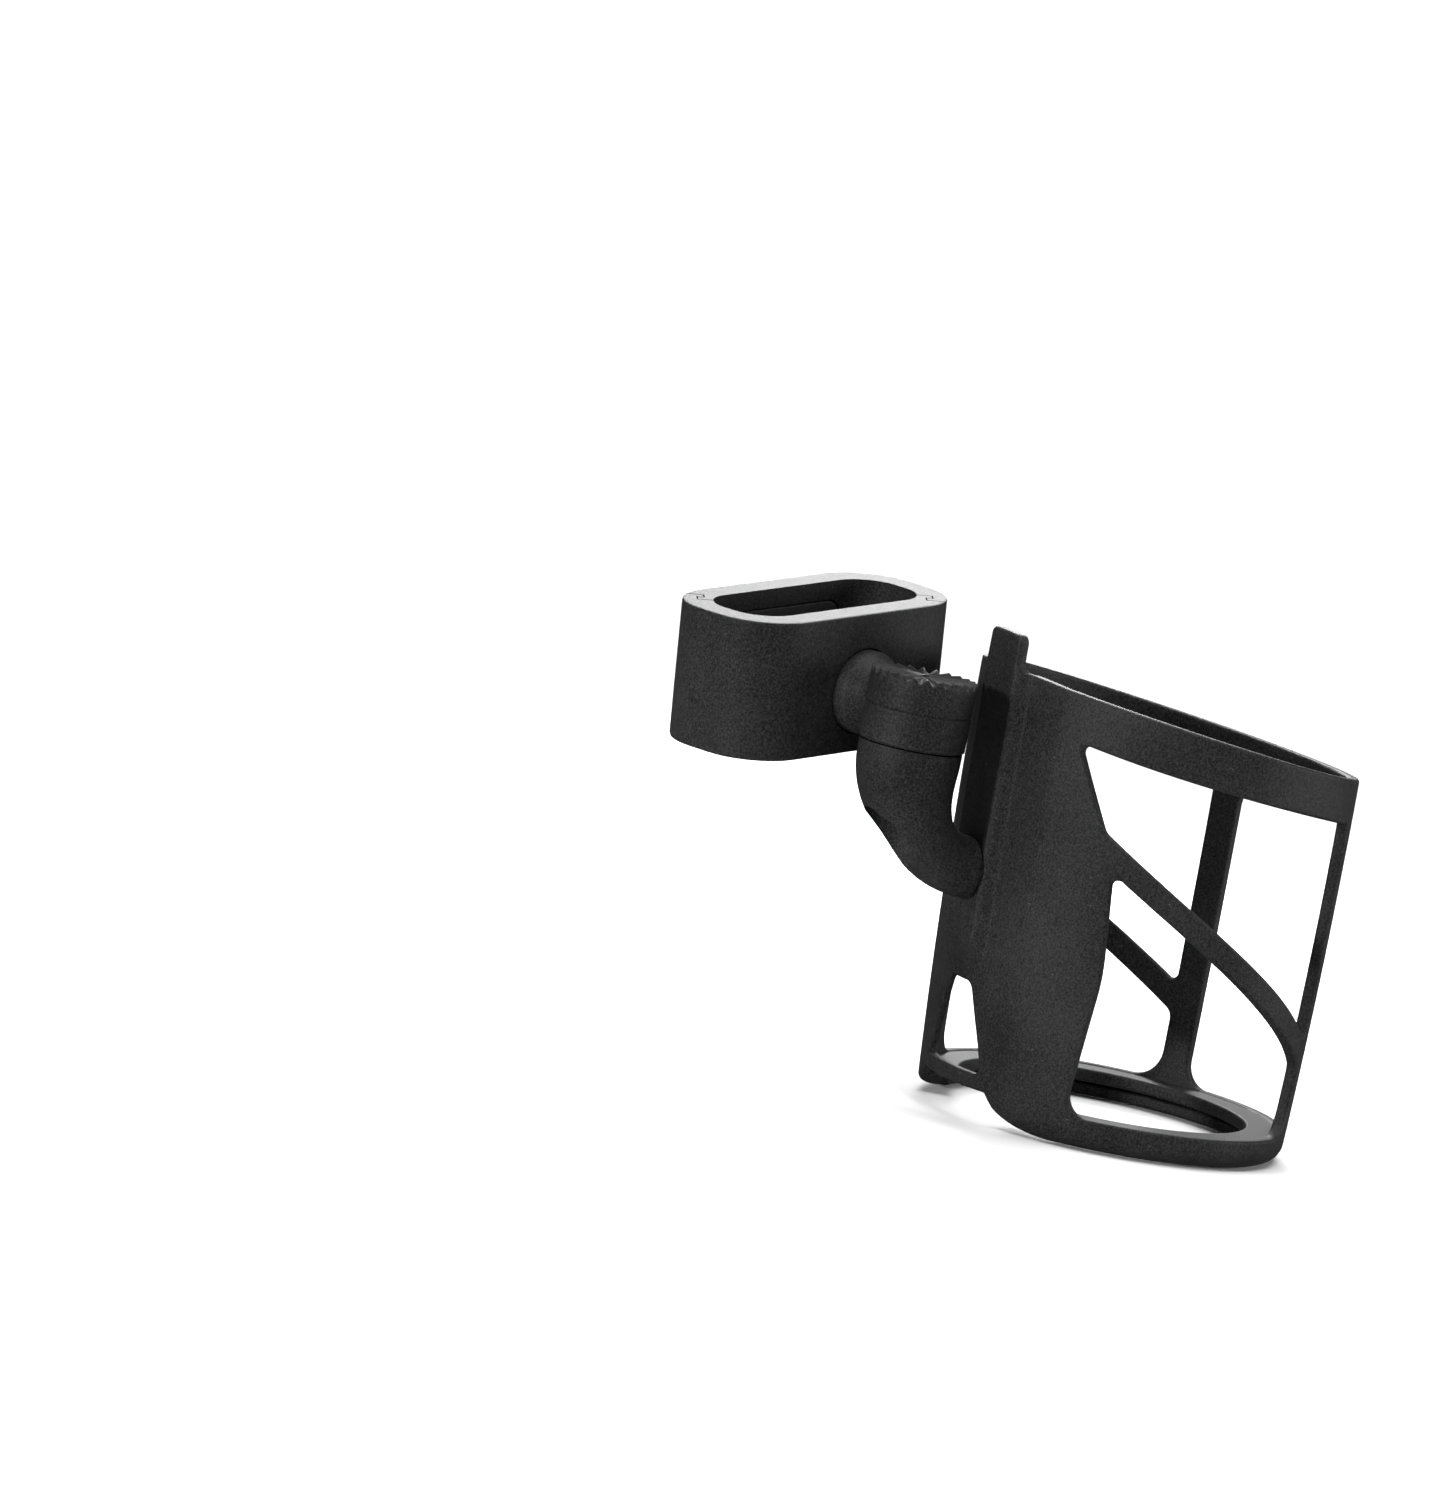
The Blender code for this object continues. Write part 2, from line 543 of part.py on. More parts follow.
def build_arm(plastic, steel, frame):
    bm = bmesh.new()
    down = Vector((0, -1))
    radius = ARM_DIAMETER / 2
    rings = [arm_ring(bm, Vector((0, ARM_TOP)), down, radius - ARM_EDGE, radius - ARM_EDGE, 2),
             arm_ring(bm, Vector((0, ARM_TOP - ARM_EDGE)), down, radius, radius, 2)]
    stations = 9
    rings += [arm_ring(bm, *arm_section(index / stations)) for index in range(stations + 1)]
    for first, second in zip(rings, rings[1:]):
        for index in range(ROUND_FACETS):
            after = (index + 1) % ROUND_FACETS
            bm.faces.new((first[index], first[after], second[after], second[index]))
    bm.faces.new(rings[0])
    bm.faces.new(rings[-1])
    arm = make_object("arm", bm, plastic, frame)
    pocket = cylinder(POCKET_RADIUS, 2 * ARM_END_LEVEL, POCKET_TOP, ROUND_FACETS)
    combine(arm, make_cutter("arm_pocket", pocket, frame), "DIFFERENCE")
    hole = cylinder(PIVOT_DIAMETER / 2 + GAP, ARM_END_LEVEL, 0, SMALL_FACETS)
    combine(arm, make_cutter("arm_hole", hole, frame), "DIFFERENCE")
    flip = (math.pi, 0, 0)
    recess = toothed_disc(TOOTH_RING / 2, ARM_TOP, -ARM_TOP + TOOTH_RECESS, TOOTH_COUNT)
    combine(arm, make_cutter("arm_teeth", recess, frame, (0, 0, 0), flip), "DIFFERENCE")

    washer_low = POCKET_TOP - SEAT - PIVOT_WASHER_THICKNESS
    washer = ring(PIVOT_WASHER / 2, PIVOT_DIAMETER / 2 + GAP, washer_low, POCKET_TOP - SEAT, SMALL_FACETS)
    make_object("pivot_washer", washer, steel, frame)
    high = washer_low - SEAT
    low = high - PIVOT_SPRING_THICKNESS
    outer, inner = PIVOT_HEAD / 2, PIVOT_DIAMETER / 2 + GAP
    spring = turned([(outer, high), (outer, low), (inner, low - PIVOT_SPRING_CONE),
                     (inner, high - PIVOT_SPRING_CONE)], SMALL_FACETS)
    make_object("pivot_spring", spring, steel, frame)


# Cage

def lean(point):
    return Vector((point[0] + CAGE_LEAN * point[2], point[1], point[2]))


def wall_point(angle, radius, height):
    return lean((-radius * math.cos(angle), -radius * math.sin(angle), height))


def rim_level(angle):
    # Height where the sloping rim plane crosses the wall.
    return (RIM_BACK - RIM_SLOPE * RADIUS_TOP * (1 - math.cos(angle))) / (1 + RIM_SLOPE * CAGE_LEAN)


def band_level(angle):
    return rim_level(angle) - BAND_HEIGHT


def cage_wall():
    steps = 5
    levels = [BASE_EDGE + (TAB_TOP - BASE_EDGE) * step / steps for step in range(steps + 1)]
    arc_steps = 4
    arc = []
    for step in range(arc_steps):
        turn = math.pi / 2 * step / arc_steps
        reach = wall_radius(BASE_EDGE) - BASE_EDGE * (1 - math.sin(turn))
        arc.append((reach, BASE_EDGE * (1 - math.cos(turn))))
    foot = RADIUS_BOTTOM - FOOT_WIDTH
    ledge = RADIUS_BOTTOM - LEDGE_WIDTH
    under = LEDGE_TOP - LEDGE_THICKNESS
    outside = [(foot, 0)] + arc + [(wall_radius(level), level) for level in levels]
    inside = [(wall_radius(level) - WALL, level) for level in reversed(levels[1:])]
    inside += [(wall_radius(LEDGE_TOP) - WALL, LEDGE_TOP), (ledge, LEDGE_TOP), (ledge, under), (foot, under)]
    bm = turned(outside + inside, WALL_FACETS)
    for vert in bm.verts:
        vert.co = lean(vert.co)
    bmesh.ops.bisect_plane(bm, geom=bm.verts[:] + bm.edges[:] + bm.faces[:], clear_outer=True,
                           plane_co=(-RADIUS_TOP, 0, RIM_BACK), plane_no=(RIM_SLOPE, 0, 1))
    bmesh.ops.bridge_loops(bm, edges=[edge for edge in bm.edges if edge.is_boundary])
    return bm


def wall_cutter(bm, columns):
    # Columns are (angle, low, high); the solid between them runs right through the wall.
    rows = []
    for angle, low, high in columns:
        rows.append([bm.verts.new(wall_point(angle, radius, height))
                     for radius, height in ((CUT_INSIDE, low), (CUT_INSIDE, high),
                                            (CUT_OUTSIDE, high), (CUT_OUTSIDE, low))])
    for first, second in zip(rows, rows[1:]):
        for index in range(4):
            after = (index + 1) % 4
            bm.faces.new((first[index], first[after], second[after], second[index]))
    bm.faces.new(rows[0])
    bm.faces.new(rows[-1])


def outline_columns(outline):
    # Slices a closed outline of (arc length, height) points into columns.
    places = sorted({round(point.x, 8) for point in outline})
    widest = 2 * math.pi * MEAN_RADIUS / WALL_FACETS
    slices = []
    for a, b in zip(places, places[1:]):
        count = max(1, math.ceil((b - a) / widest))
        slices += [a + (b - a) * index / count for index in range(count)]
    columns = []
    for x in slices + [places[-1]]:
        heights = []
        for a, b in zip(outline, outline[1:] + outline[:1]):
            if min(a.x, b.x) - 1e-8 <= x <= max(a.x, b.x) + 1e-8:
                if abs(b.x - a.x) < 2e-8:
                    heights += [a.y, b.y]
                else:
                    heights.append(a.y + (b.y - a.y) * (x - a.x) / (b.x - a.x))
        if max(heights) - min(heights) > 1e-5:
            columns.append((x / MEAN_RADIUS, min(heights), max(heights)))
    return columns


def strut_level(angle):
    # Upper edge of the slanting strut.
    return ELBOW_LEVEL - STRUT_SLOPE * MEAN_RADIUS * (angle - PANEL_MIDDLE)


def side_windows():
    arc = MEAN_RADIUS
    upper = [(arc * PANEL_TOP, band_level(PANEL_TOP), POINT_FILLET),
             (arc * PANEL_MIDDLE, ELBOW_LEVEL, WINDOW_FILLET),
             (arc * SPINE_START, strut_level(SPINE_START), WINDOW_FILLET / 2),
             (arc * SPINE_START, band_level(SPINE_START), WINDOW_FILLET / 2)]
    lower = [(arc * PANEL_LOWER, strut_level(PANEL_LOWER) - STRUT_HEIGHT, POINT_FILLET),
             (arc * PANEL_WAIST, WAIST_LEVEL, WAIST_FILLET), (arc * PANEL_FOOT, SILL_LEVEL, SILL_FILLET),
             (arc * SPINE_START, SILL_LEVEL, WINDOW_FILLET),
             (arc * SPINE_START, strut_level(SPINE_START) - STRUT_HEIGHT, WINDOW_FILLET)]
    return outline_columns(fillet(upper)), outline_columns(fillet(lower))


def notch_outline(wide):
    # The gap under the back bar; each panel beside it ends in a quarter of an ellipse.
    steps = 8
    side = []
    for step in range(steps + 1):
        level = BACK_BAR_BOTTOM * (1 - step / steps)
        drop = 1 - level / NOTCH_RISE
        side.append(Vector((wide + NOTCH_LENGTH * (1 - math.sqrt(1 - drop * drop)), level)))
    side.append(Vector((side[-1].x + WALL, -WALL)))
    return side + [Vector((-point.x, point.y)) for point in reversed(side)]


def cage_openings():
    bm = bmesh.new()
    for columns in side_windows():
        wall_cutter(bm, columns)
        wall_cutter(bm, [(-angle, low, high) for angle, low, high in columns])
    arc = MEAN_RADIUS
    far = 2 * math.pi - SPINE_END
    front = [(arc * SPINE_END, band_level(SPINE_END), FRONT_FILLET), (arc * SPINE_END, SILL_LEVEL, FRONT_FILLET),
             (arc * far, SILL_LEVEL, FRONT_FILLET), (arc * far, band_level(SPINE_END), FRONT_FILLET)]
    wall_cutter(bm, outline_columns(fillet(front)))
    sill = BACK_BAR_BOTTOM + BACK_BAR
    wide, narrow = arc * BACK_WINDOW_WIDE, arc * BACK_WINDOW_NARROW
    back = [(-narrow, BACK_WINDOW_TOP, WINDOW_FILLET), (-wide, sill, WINDOW_FILLET / 2),
            (wide, sill, WINDOW_FILLET / 2), (narrow, BACK_WINDOW_TOP, WINDOW_FILLET)]
    wall_cutter(bm, outline_columns(fillet(back)))
    wall_cutter(bm, outline_columns(notch_outline(wide)))
    return bm


def build_tab(frame):
    # A thumb tab, and below it a flat rail down the wall that the arm's end stands on.
    levels = [RIM_BACK + (RAIL_FOOT - RIM_BACK) * step / RAIL_STEPS for step in range(RAIL_STEPS + 1)]
    walls = [wall_radius(level) - CAGE_LEAN * level for level in levels]
    proud = [TAB_PROUD] + [RAIL_PROUD] * (RAIL_STEPS - 1) + [0]
    face = walls[0] + TAB_PROUD
    outer = [(-wall - extra, level) for wall, extra, level in zip(walls, proud, levels)]
    inner = [(WALL / 2 - wall, level) for wall, level in zip(walls, levels)]
    back = TAB_THICKNESS - face
    side = [(-face, TAB_TOP)] + outer + inner[:0:-1] + [(back, RIM_BACK), (back, TAB_TOP)]
    bm = prism(side, -TAB_WIDTH / 2, TAB_WIDTH / 2)
    corners = [edge for edge in bm.edges if all(abs(vert.co.y - TAB_TOP) < 1e-7 for vert in edge.verts)
               and abs(edge.verts[0].co.z - edge.verts[1].co.z) < 1e-7]
    bmesh.ops.bevel(bm, geom=corners, offset=TAB_CORNER, segments=4, profile=0.5, affect="EDGES")
    return make_cutter("cage_tab", bm, frame, (0, 0, 0), (math.pi / 2, 0, 0))


def build_cage(plastic, brass, steel, frame):
    cage = make_object("cage", cage_wall(), plastic, frame)
    to_back = (0, -math.pi / 2, 0)
    boss_outline = rounded_rectangle(ARM_END_HEIGHT - 2 * BOSS_INSET, ARM_END_WIDTH - 2 * BOSS_INSET,
                                     ARM_END_HEIGHT / 2 - 2 * BOSS_INSET)
    boss_root = wall_radius(BOSS_LEVEL) - WALL / 2 - ARM_END_WIDTH ** 2 / 8 / RADIUS_BOTTOM
    boss = prism(boss_outline, boss_root, BOSS_REACH)
    combine(cage, make_cutter("cage_boss", boss, frame, (0, 0, BOSS_LEVEL), to_back), "UNION")
    combine(cage, make_cutter("cage_openings", cage_openings(), frame), "DIFFERENCE")
    combine(cage, build_tab(frame), "UNION")

    seat = BOSS_REACH - CAGE_SCREW_WEB
    head_low = seat - SEAT
    for name, y in (("left", -CAGE_SCREW_SPACING / 2), ("right", CAGE_SCREW_SPACING / 2)):
        place = (0, y, BOSS_LEVEL)
        hole = cylinder(CAGE_SCREW / 2 + GAP, 0, 2 * BOSS_REACH, SMALL_FACETS)
        combine(cage, make_cutter(f"cage_screw_hole_{name}", hole, frame, place, to_back), "DIFFERENCE")
        head_hole = cylinder(CAGE_SCREW_HEAD / 2 + GAP, 0, seat, SMALL_FACETS)
        combine(cage, make_cutter(f"cage_head_hole_{name}", head_hole, frame, place, to_back), "DIFFERENCE")
        tip = BOSS_REACH + GAP + CAGE_INSERT_LENGTH - SEAT
        head = head_low - CAGE_SCREW_HEAD_HEIGHT
        body = turned([(0, tip), (CAGE_SCREW / 2, tip), (CAGE_SCREW / 2, head_low), (CAGE_SCREW_HEAD / 2, head_low),
                       (CAGE_SCREW_HEAD / 2, head), (0, head)], SMALL_FACETS)
        screw = make_object(f"cage_screw_{name}", body, steel, frame, place, to_back)
        socket = hex_socket(CAGE_SCREW_SOCKET, 0, head + CAGE_SCREW_HEAD_HEIGHT * 0.7)
        combine(screw, make_cutter(f"cage_socket_{name}", socket, frame, place, to_back), "DIFFERENCE")
        low = BOSS_REACH + GAP + SEAT
        insert = ring(CAGE_INSERT / 2, CAGE_SCREW / 2 + GAP, low, low + CAGE_INSERT_LENGTH, SMALL_FACETS)
        make_object(f"cage_insert_{name}", insert, brass, frame, place, to_back)


def drill_arm_end(frame):
    # Pockets in the arm's end for the two inserts that take the cage screws.
    arm = bpy.data.objects["arm"]
    for name, y in (("left", -CAGE_SCREW_SPACING / 2), ("right", CAGE_SCREW_SPACING / 2)):
        depth = CAGE_INSERT_LENGTH + GAP + 2 * SEAT
        hole = cylinder(CAGE_INSERT / 2 + GAP, BOSS_REACH, BOSS_REACH + GAP + depth, SMALL_FACETS)
        cutter = make_cutter(f"arm_insert_{name}", hole, frame, (0, y, BOSS_LEVEL), (0, -math.pi / 2, 0))
        combine(arm, cutter, "DIFFERENCE")


def main():
    clear_scene()
    plastic = make_material("moulded_black_plastic", (0.018, 0.018, 0.019), 0.55, 0.0)
    rubber = make_material("black_rubber", (0.012, 0.012, 0.012), 0.8, 0.0)
    brass = make_material("brass", (0.72, 0.53, 0.24), 0.35, 1.0)
    steel = make_material("zinc_plated_steel", (0.62, 0.62, 0.62), 0.35, 1.0)

    collar_frame = make_empty("collar_frame", rotation=(0, COLLAR_RAKE, 0))
    swivel_axis = make_empty("swivel_axis", location=(0, PIVOT_Y, 0))
    pivot_axis = make_empty("pivot_axis", swivel_axis, rotation=(0, 0, CAGE_TURN))
    cage_frame = make_empty("cage_frame", pivot_axis, location=(CAGE_REACH, 0, -PIVOT_HEIGHT))

    build_collar(plastic, rubber, brass, steel, collar_frame)
    build_knuckle(plastic, brass, steel, swivel_axis)
    build_arm(plastic, steel, pivot_axis)
    build_cage(plastic, brass, steel, cage_frame)
    drill_arm_end(cage_frame)
    bpy.context.view_layer.update()


main()
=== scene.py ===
import math

import bmesh
import bpy
from mathutils import Matrix, Vector


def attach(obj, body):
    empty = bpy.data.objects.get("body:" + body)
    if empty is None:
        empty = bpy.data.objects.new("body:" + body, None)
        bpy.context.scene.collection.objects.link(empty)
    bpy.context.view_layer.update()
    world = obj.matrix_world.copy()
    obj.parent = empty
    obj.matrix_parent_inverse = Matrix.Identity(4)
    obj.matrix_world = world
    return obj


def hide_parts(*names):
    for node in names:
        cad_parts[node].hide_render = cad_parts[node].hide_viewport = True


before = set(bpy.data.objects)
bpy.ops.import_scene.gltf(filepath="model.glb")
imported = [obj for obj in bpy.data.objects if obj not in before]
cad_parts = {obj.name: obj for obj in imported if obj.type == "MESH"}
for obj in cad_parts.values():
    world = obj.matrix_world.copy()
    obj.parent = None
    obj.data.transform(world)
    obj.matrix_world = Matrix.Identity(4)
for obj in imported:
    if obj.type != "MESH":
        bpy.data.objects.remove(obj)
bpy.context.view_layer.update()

mm = 0.001
weld = 1e-6  # vertices this close become one
hair = 1e-7  # finer, for spun shapes and plane tests
scene = bpy.context.scene

# where the arm swings and where the cage stands, as in the solids
layout = {
    "pivot": Vector((0, -30.75 * mm, 0)),
    "cageTurn": math.radians(-19.2),
    "cageReach": 60.205 * mm,
    "cageDrop": -79.5 * mm,
}
pivotPlace = Matrix.Translation(layout["pivot"])
armPlace = pivotPlace @ Matrix.Rotation(layout["cageTurn"], 4, "Z")
cagePlace = armPlace @ Matrix.Translation((layout["cageReach"], 0, layout["cageDrop"]))


# small helpers

class Wire:
    # one shader socket; arithmetic on it adds Math nodes
    def __init__(self, tree, socket):
        self.tree = tree
        self.socket = socket

    def node(self, kind, settings, sockets, output=0):
        made = self.tree.nodes.new(kind)
        for key, value in settings.items():
            if key == "stops":
                for stop, (place, shade) in zip(made.color_ramp.elements, value):
                    stop.position = place
                    stop.color = (*shade, 1)
            else:
                setattr(made, key, value)
        for key, value in sockets.items():
            if isinstance(value, Wire):
                self.tree.links.new(value.socket, made.inputs[key])
            else:
                made.inputs[key].default_value = value
        return Wire(self.tree, made.outputs[output])

    def math(self, operation, first, second):
        return self.node("ShaderNodeMath", {"operation": operation}, {0: first, 1: second})

    def __add__(self, other):
        return self.math("ADD", self, other)

    def __sub__(self, other):
        return self.math("SUBTRACT", self, other)

    def __mul__(self, other):
        return self.math("MULTIPLY", self, other)

    __radd__ = __add__


def startMaterial(name):
    material = bpy.data.materials.new(name)
    material.use_nodes = True
    tree = material.node_tree
    shader = tree.nodes["Principled BSDF"]
    here = Wire(tree, None).node("ShaderNodeTexCoord", {}, {}, "Object")
    return material, shader, here


def feed(shader, **sockets):
    names = {"colour": "Base Color", "roughness": "Roughness", "normal": "Normal", "metallic": "Metallic"}
    for key, value in sockets.items():
        socket = shader.inputs[names[key]]
        if isinstance(value, Wire):
            value.tree.links.new(value.socket, socket)
        else:
            socket.default_value = value


def addBump(height, look):
    return height.node("ShaderNodeBump", {}, {"Strength": look["bump"], "Distance": look["depth"],
                                              "Height": height})


def finishPiece(name, bm, material, body, nodes, place=None, smoothAngle=50):
    # merged, turned outwards, put in its place, and tied to its body
    bmesh.ops.remove_doubles(bm, verts=bm.verts, dist=weld)
    bmesh.ops.recalc_face_normals(bm, faces=bm.faces)
    if place:
        bm.transform(place)
    mesh = bpy.data.meshes.new(name)
    bm.to_mesh(mesh)
    bm.free()
    mesh.shade_smooth()
    mesh.set_sharp_from_angle(angle=math.radians(smoothAngle))
    mesh.materials.append(material)
    piece = bpy.data.objects.new(name, mesh)
    scene.collection.objects.link(piece)
    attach(piece, body)
    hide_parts(*nodes)
    print(f"{name}: {len(mesh.polygons)} faces")
    return piece


def evenShading(piece):
    # large faces keep their own normal, and the rounded edges take the turn
    even = piece.modifiers.new("evenShading", "WEIGHTED_NORMAL")
    even.mode = "FACE_AREA"
    even.keep_sharp = True
    even.weight = 80


def boolean(bm, tool, operation):
    # joins or cuts two closed meshes through throwaway objects
    made = []
    for name, part in (("body", bm), ("tool", tool)):
        bmesh.ops.remove_doubles(part, verts=part.verts, dist=weld)
        bmesh.ops.recalc_face_normals(part, faces=part.faces)
        mesh = bpy.data.meshes.new(name)
        part.to_mesh(mesh)
        part.free()
        made.append(bpy.data.objects.new(name, mesh))
        scene.collection.objects.link(made[-1])
    step = made[0].modifiers.new("step", "BOOLEAN")
    step.operation = operation
    step.object = made[1]
    step.solver = "MANIFOLD"
    graph = bpy.context.evaluated_depsgraph_get()
    shape = bpy.data.meshes.new_from_object(made[0].evaluated_get(graph))
    result = bmesh.new()
    result.from_mesh(shape)
    for item in made:
        spent = item.data
        bpy.data.objects.remove(item)
        bpy.data.meshes.remove(spent)
    bpy.data.meshes.remove(shape)
    return result


def rod(radius, low, high, place=None, segments=64):
    bm = bmesh.new()
    middle = Matrix.Translation((0, 0, (low + high) / 2))
    bmesh.ops.create_cone(bm, cap_ends=True, segments=segments, radius1=radius, radius2=radius,
                          depth=high - low, matrix=(place @ middle) if place else middle)
    return bm


def turnedShape(profile, steps):
    # a profile of (radius, height) from axis to axis, spun into a closed shape
    bm = bmesh.new()
    verts = [bm.verts.new((radius, 0, height)) for radius, height in profile]
    edges = [bm.edges.new(pair) for pair in zip(verts, verts[1:])]
    bmesh.ops.spin(bm, geom=verts + edges, cent=(0, 0, 0), axis=(0, 0, 1),
                   angle=2 * math.pi, steps=steps, use_merge=True)
    bmesh.ops.remove_doubles(bm, verts=bm.verts, dist=hair)
    bmesh.ops.dissolve_degenerate(bm, edges=bm.edges, dist=hair)
    return bm


def slicePlane(bm, point, normal, trim=False):
    # new edges along a plane; trim also drops what lies beyond it
    bmesh.ops.bisect_plane(bm, geom=bm.verts[:] + bm.edges[:] + bm.faces[:], dist=weld,
                           plane_co=point, plane_no=normal, clear_outer=trim)


def roundCorners(corners, steps=7):
    # corners are (x, y, radius); each one becomes an arc of that radius
    points = []
    straight = math.pi / 2 - 1e-3
    for index, (x, y, radius) in enumerate(corners):
        here = Vector((x, y))
        before = (Vector(corners[index - 1][:2]) - here).normalized()
        after = (Vector(corners[(index + 1) % len(corners)][:2]) - here).normalized()
        half = before.angle(after) / 2
        if radius == 0 or half > straight:
            points.append(here)
            continue
        centre = here + (before + after).normalized() * radius / math.sin(half)
        start = here + before * radius / math.tan(half) - centre
        sweep = start.angle_signed(here + after * radius / math.tan(half) - centre)
        points += [centre + Matrix.Rotation(-sweep * step / steps, 2) @ start
                   for step in range(steps + 1)]
    return points


# materials
plasticLook = {
    "grain": 2400.0, "grainDetail": 3.0, "grainRoughness": 0.65, "pits": 3000.0,
    "drift": 40.0, "driftDetail": 2.0, "grainInShade": 0.75, "shadeRange": (0.4, 0.62),
    "dark": (0.0065, 0.0065, 0.0068), "pale": (0.0305, 0.0305, 0.0318),
    "specks": 260.0, "speckEdge": (0.05, 0.035), "dust": 0.5, "dustShade": (0.11, 0.11, 0.115, 1),
    "grainInHeight": 0.6, "bump": 0.7, "depth": 0.12 * mm,
    "roughness": 0.52, "roughnessSwing": 0.35, "gloss": 0.13,
}


def mouldedPlastic(name):
    # fine spark-eroded grain, a slow drift in shade, and a few pale dust specks
    look = plasticLook
    material, shader, here = startMaterial(name)
    grain = here.node("ShaderNodeTexNoise", {}, {"Vector": here, "Scale": look["grain"],
                                                 "Detail": look["grainDetail"],
                                                 "Roughness": look["grainRoughness"]})
    pits = here.node("ShaderNodeTexVoronoi", {}, {"Vector": here, "Scale": look["pits"]})
    drift = here.node("ShaderNodeTexNoise", {}, {"Vector": here, "Scale": look["drift"],
                                                 "Detail": look["driftDetail"]})
    specks = here.node("ShaderNodeTexVoronoi", {}, {"Vector": here, "Scale": look["specks"]})
    outside, inside = look["speckEdge"]
    dust = here.node("ShaderNodeMapRange", {}, {0: specks, 1: outside, 2: inside, 3: 0.0, 4: look["dust"]})
    shade = grain * look["grainInShade"] + drift * (1 - look["grainInShade"])
    stops = tuple(zip(look["shadeRange"], (look["dark"], look["pale"])))
    colour = here.node("ShaderNodeValToRGB", {"stops": stops}, {"Fac": shade})
    dusty = here.node("ShaderNodeMix", {"data_type": "RGBA"},
                      {"Factor": dust, 6: colour, 7: look["dustShade"]}, 2)
    height = grain * look["grainInHeight"] + pits * (1 - look["grainInHeight"])
    bump = addBump(height, look)
    roughness = look["roughness"] + (grain - 0.5) * look["roughnessSwing"]
    feed(shader, colour=dusty, roughness=roughness, normal=bump)
    shader.inputs["Specular IOR Level"].default_value = look["gloss"]
    return material


rubberLook = {
    "grain": 900.0, "detail": 4.0, "stops": ((0.3, (0.006, 0.006, 0.006)), (0.7, (0.02, 0.02, 0.02))),
    "bump": 0.4, "depth": 0.1 * mm, "roughness": 0.75, "roughnessSwing": 0.2,
}


def mattRubber(name):
    look = rubberLook
    material, shader, here = startMaterial(name)
    grain = here.node("ShaderNodeTexNoise", {}, {"Vector": here, "Scale": look["grain"],
                                                 "Detail": look["detail"]})
    colour = here.node("ShaderNodeValToRGB", {"stops": look["stops"]}, {"Fac": grain})
    bump = addBump(grain, look)
    feed(shader, colour=colour, roughness=look["roughness"] + grain * look["roughnessSwing"], normal=bump)
    return material


metalLook = {
    "marks": (1600, 1600, 1600), "marksDetail": 3.0, "tarnish": 220.0, "tarnishDetail": 4.0,
    "marksInShade": 0.4, "shadeRange": (0.3, 0.7), "bump": 0.2, "depth": 0.05 * mm, "roughnessSwing": 0.2,
}


def turnedMetal(name, dark, pale, roughness):
    # fine tool marks and a light tarnish
    look = metalLook
    material, shader, here = startMaterial(name)
    finer = here.node("ShaderNodeMapping", {}, {"Vector": here, "Scale": look["marks"]})
    marks = here.node("ShaderNodeTexNoise", {}, {"Vector": finer, "Scale": 1.0,
                                                 "Detail": look["marksDetail"]})
    tarnish = here.node("ShaderNodeTexNoise", {}, {"Vector": here, "Scale": look["tarnish"],
                                                   "Detail": look["tarnishDetail"]})
    shade = marks * look["marksInShade"] + tarnish * (1 - look["marksInShade"])
    stops = tuple(zip(look["shadeRange"], (dark, pale)))
    colour = here.node("ShaderNodeValToRGB", {"stops": stops}, {"Fac": shade})
    bump = addBump(marks, look)
    worn = roughness + tarnish * look["roughnessSwing"]
    feed(shader, colour=colour, roughness=worn, normal=bump, metallic=1.0)
    return material


blackPlastic = mouldedPlastic("blackMouldedPlastic")
blackRubber = mattRubber("blackRubber")
darkSteel = turnedMetal("blackenedSteel", (0.012, 0.012, 0.013), (0.04, 0.04, 0.042), 0.4)
zincSteel = turnedMetal("zincPlatedSteel", (0.38, 0.38, 0.39), (0.66, 0.66, 0.67), 0.22)
turnedBrass = turnedMetal("turnedBrass", (0.45, 0.29, 0.10), (0.75, 0.55, 0.26), 0.2)
print("materials ready")


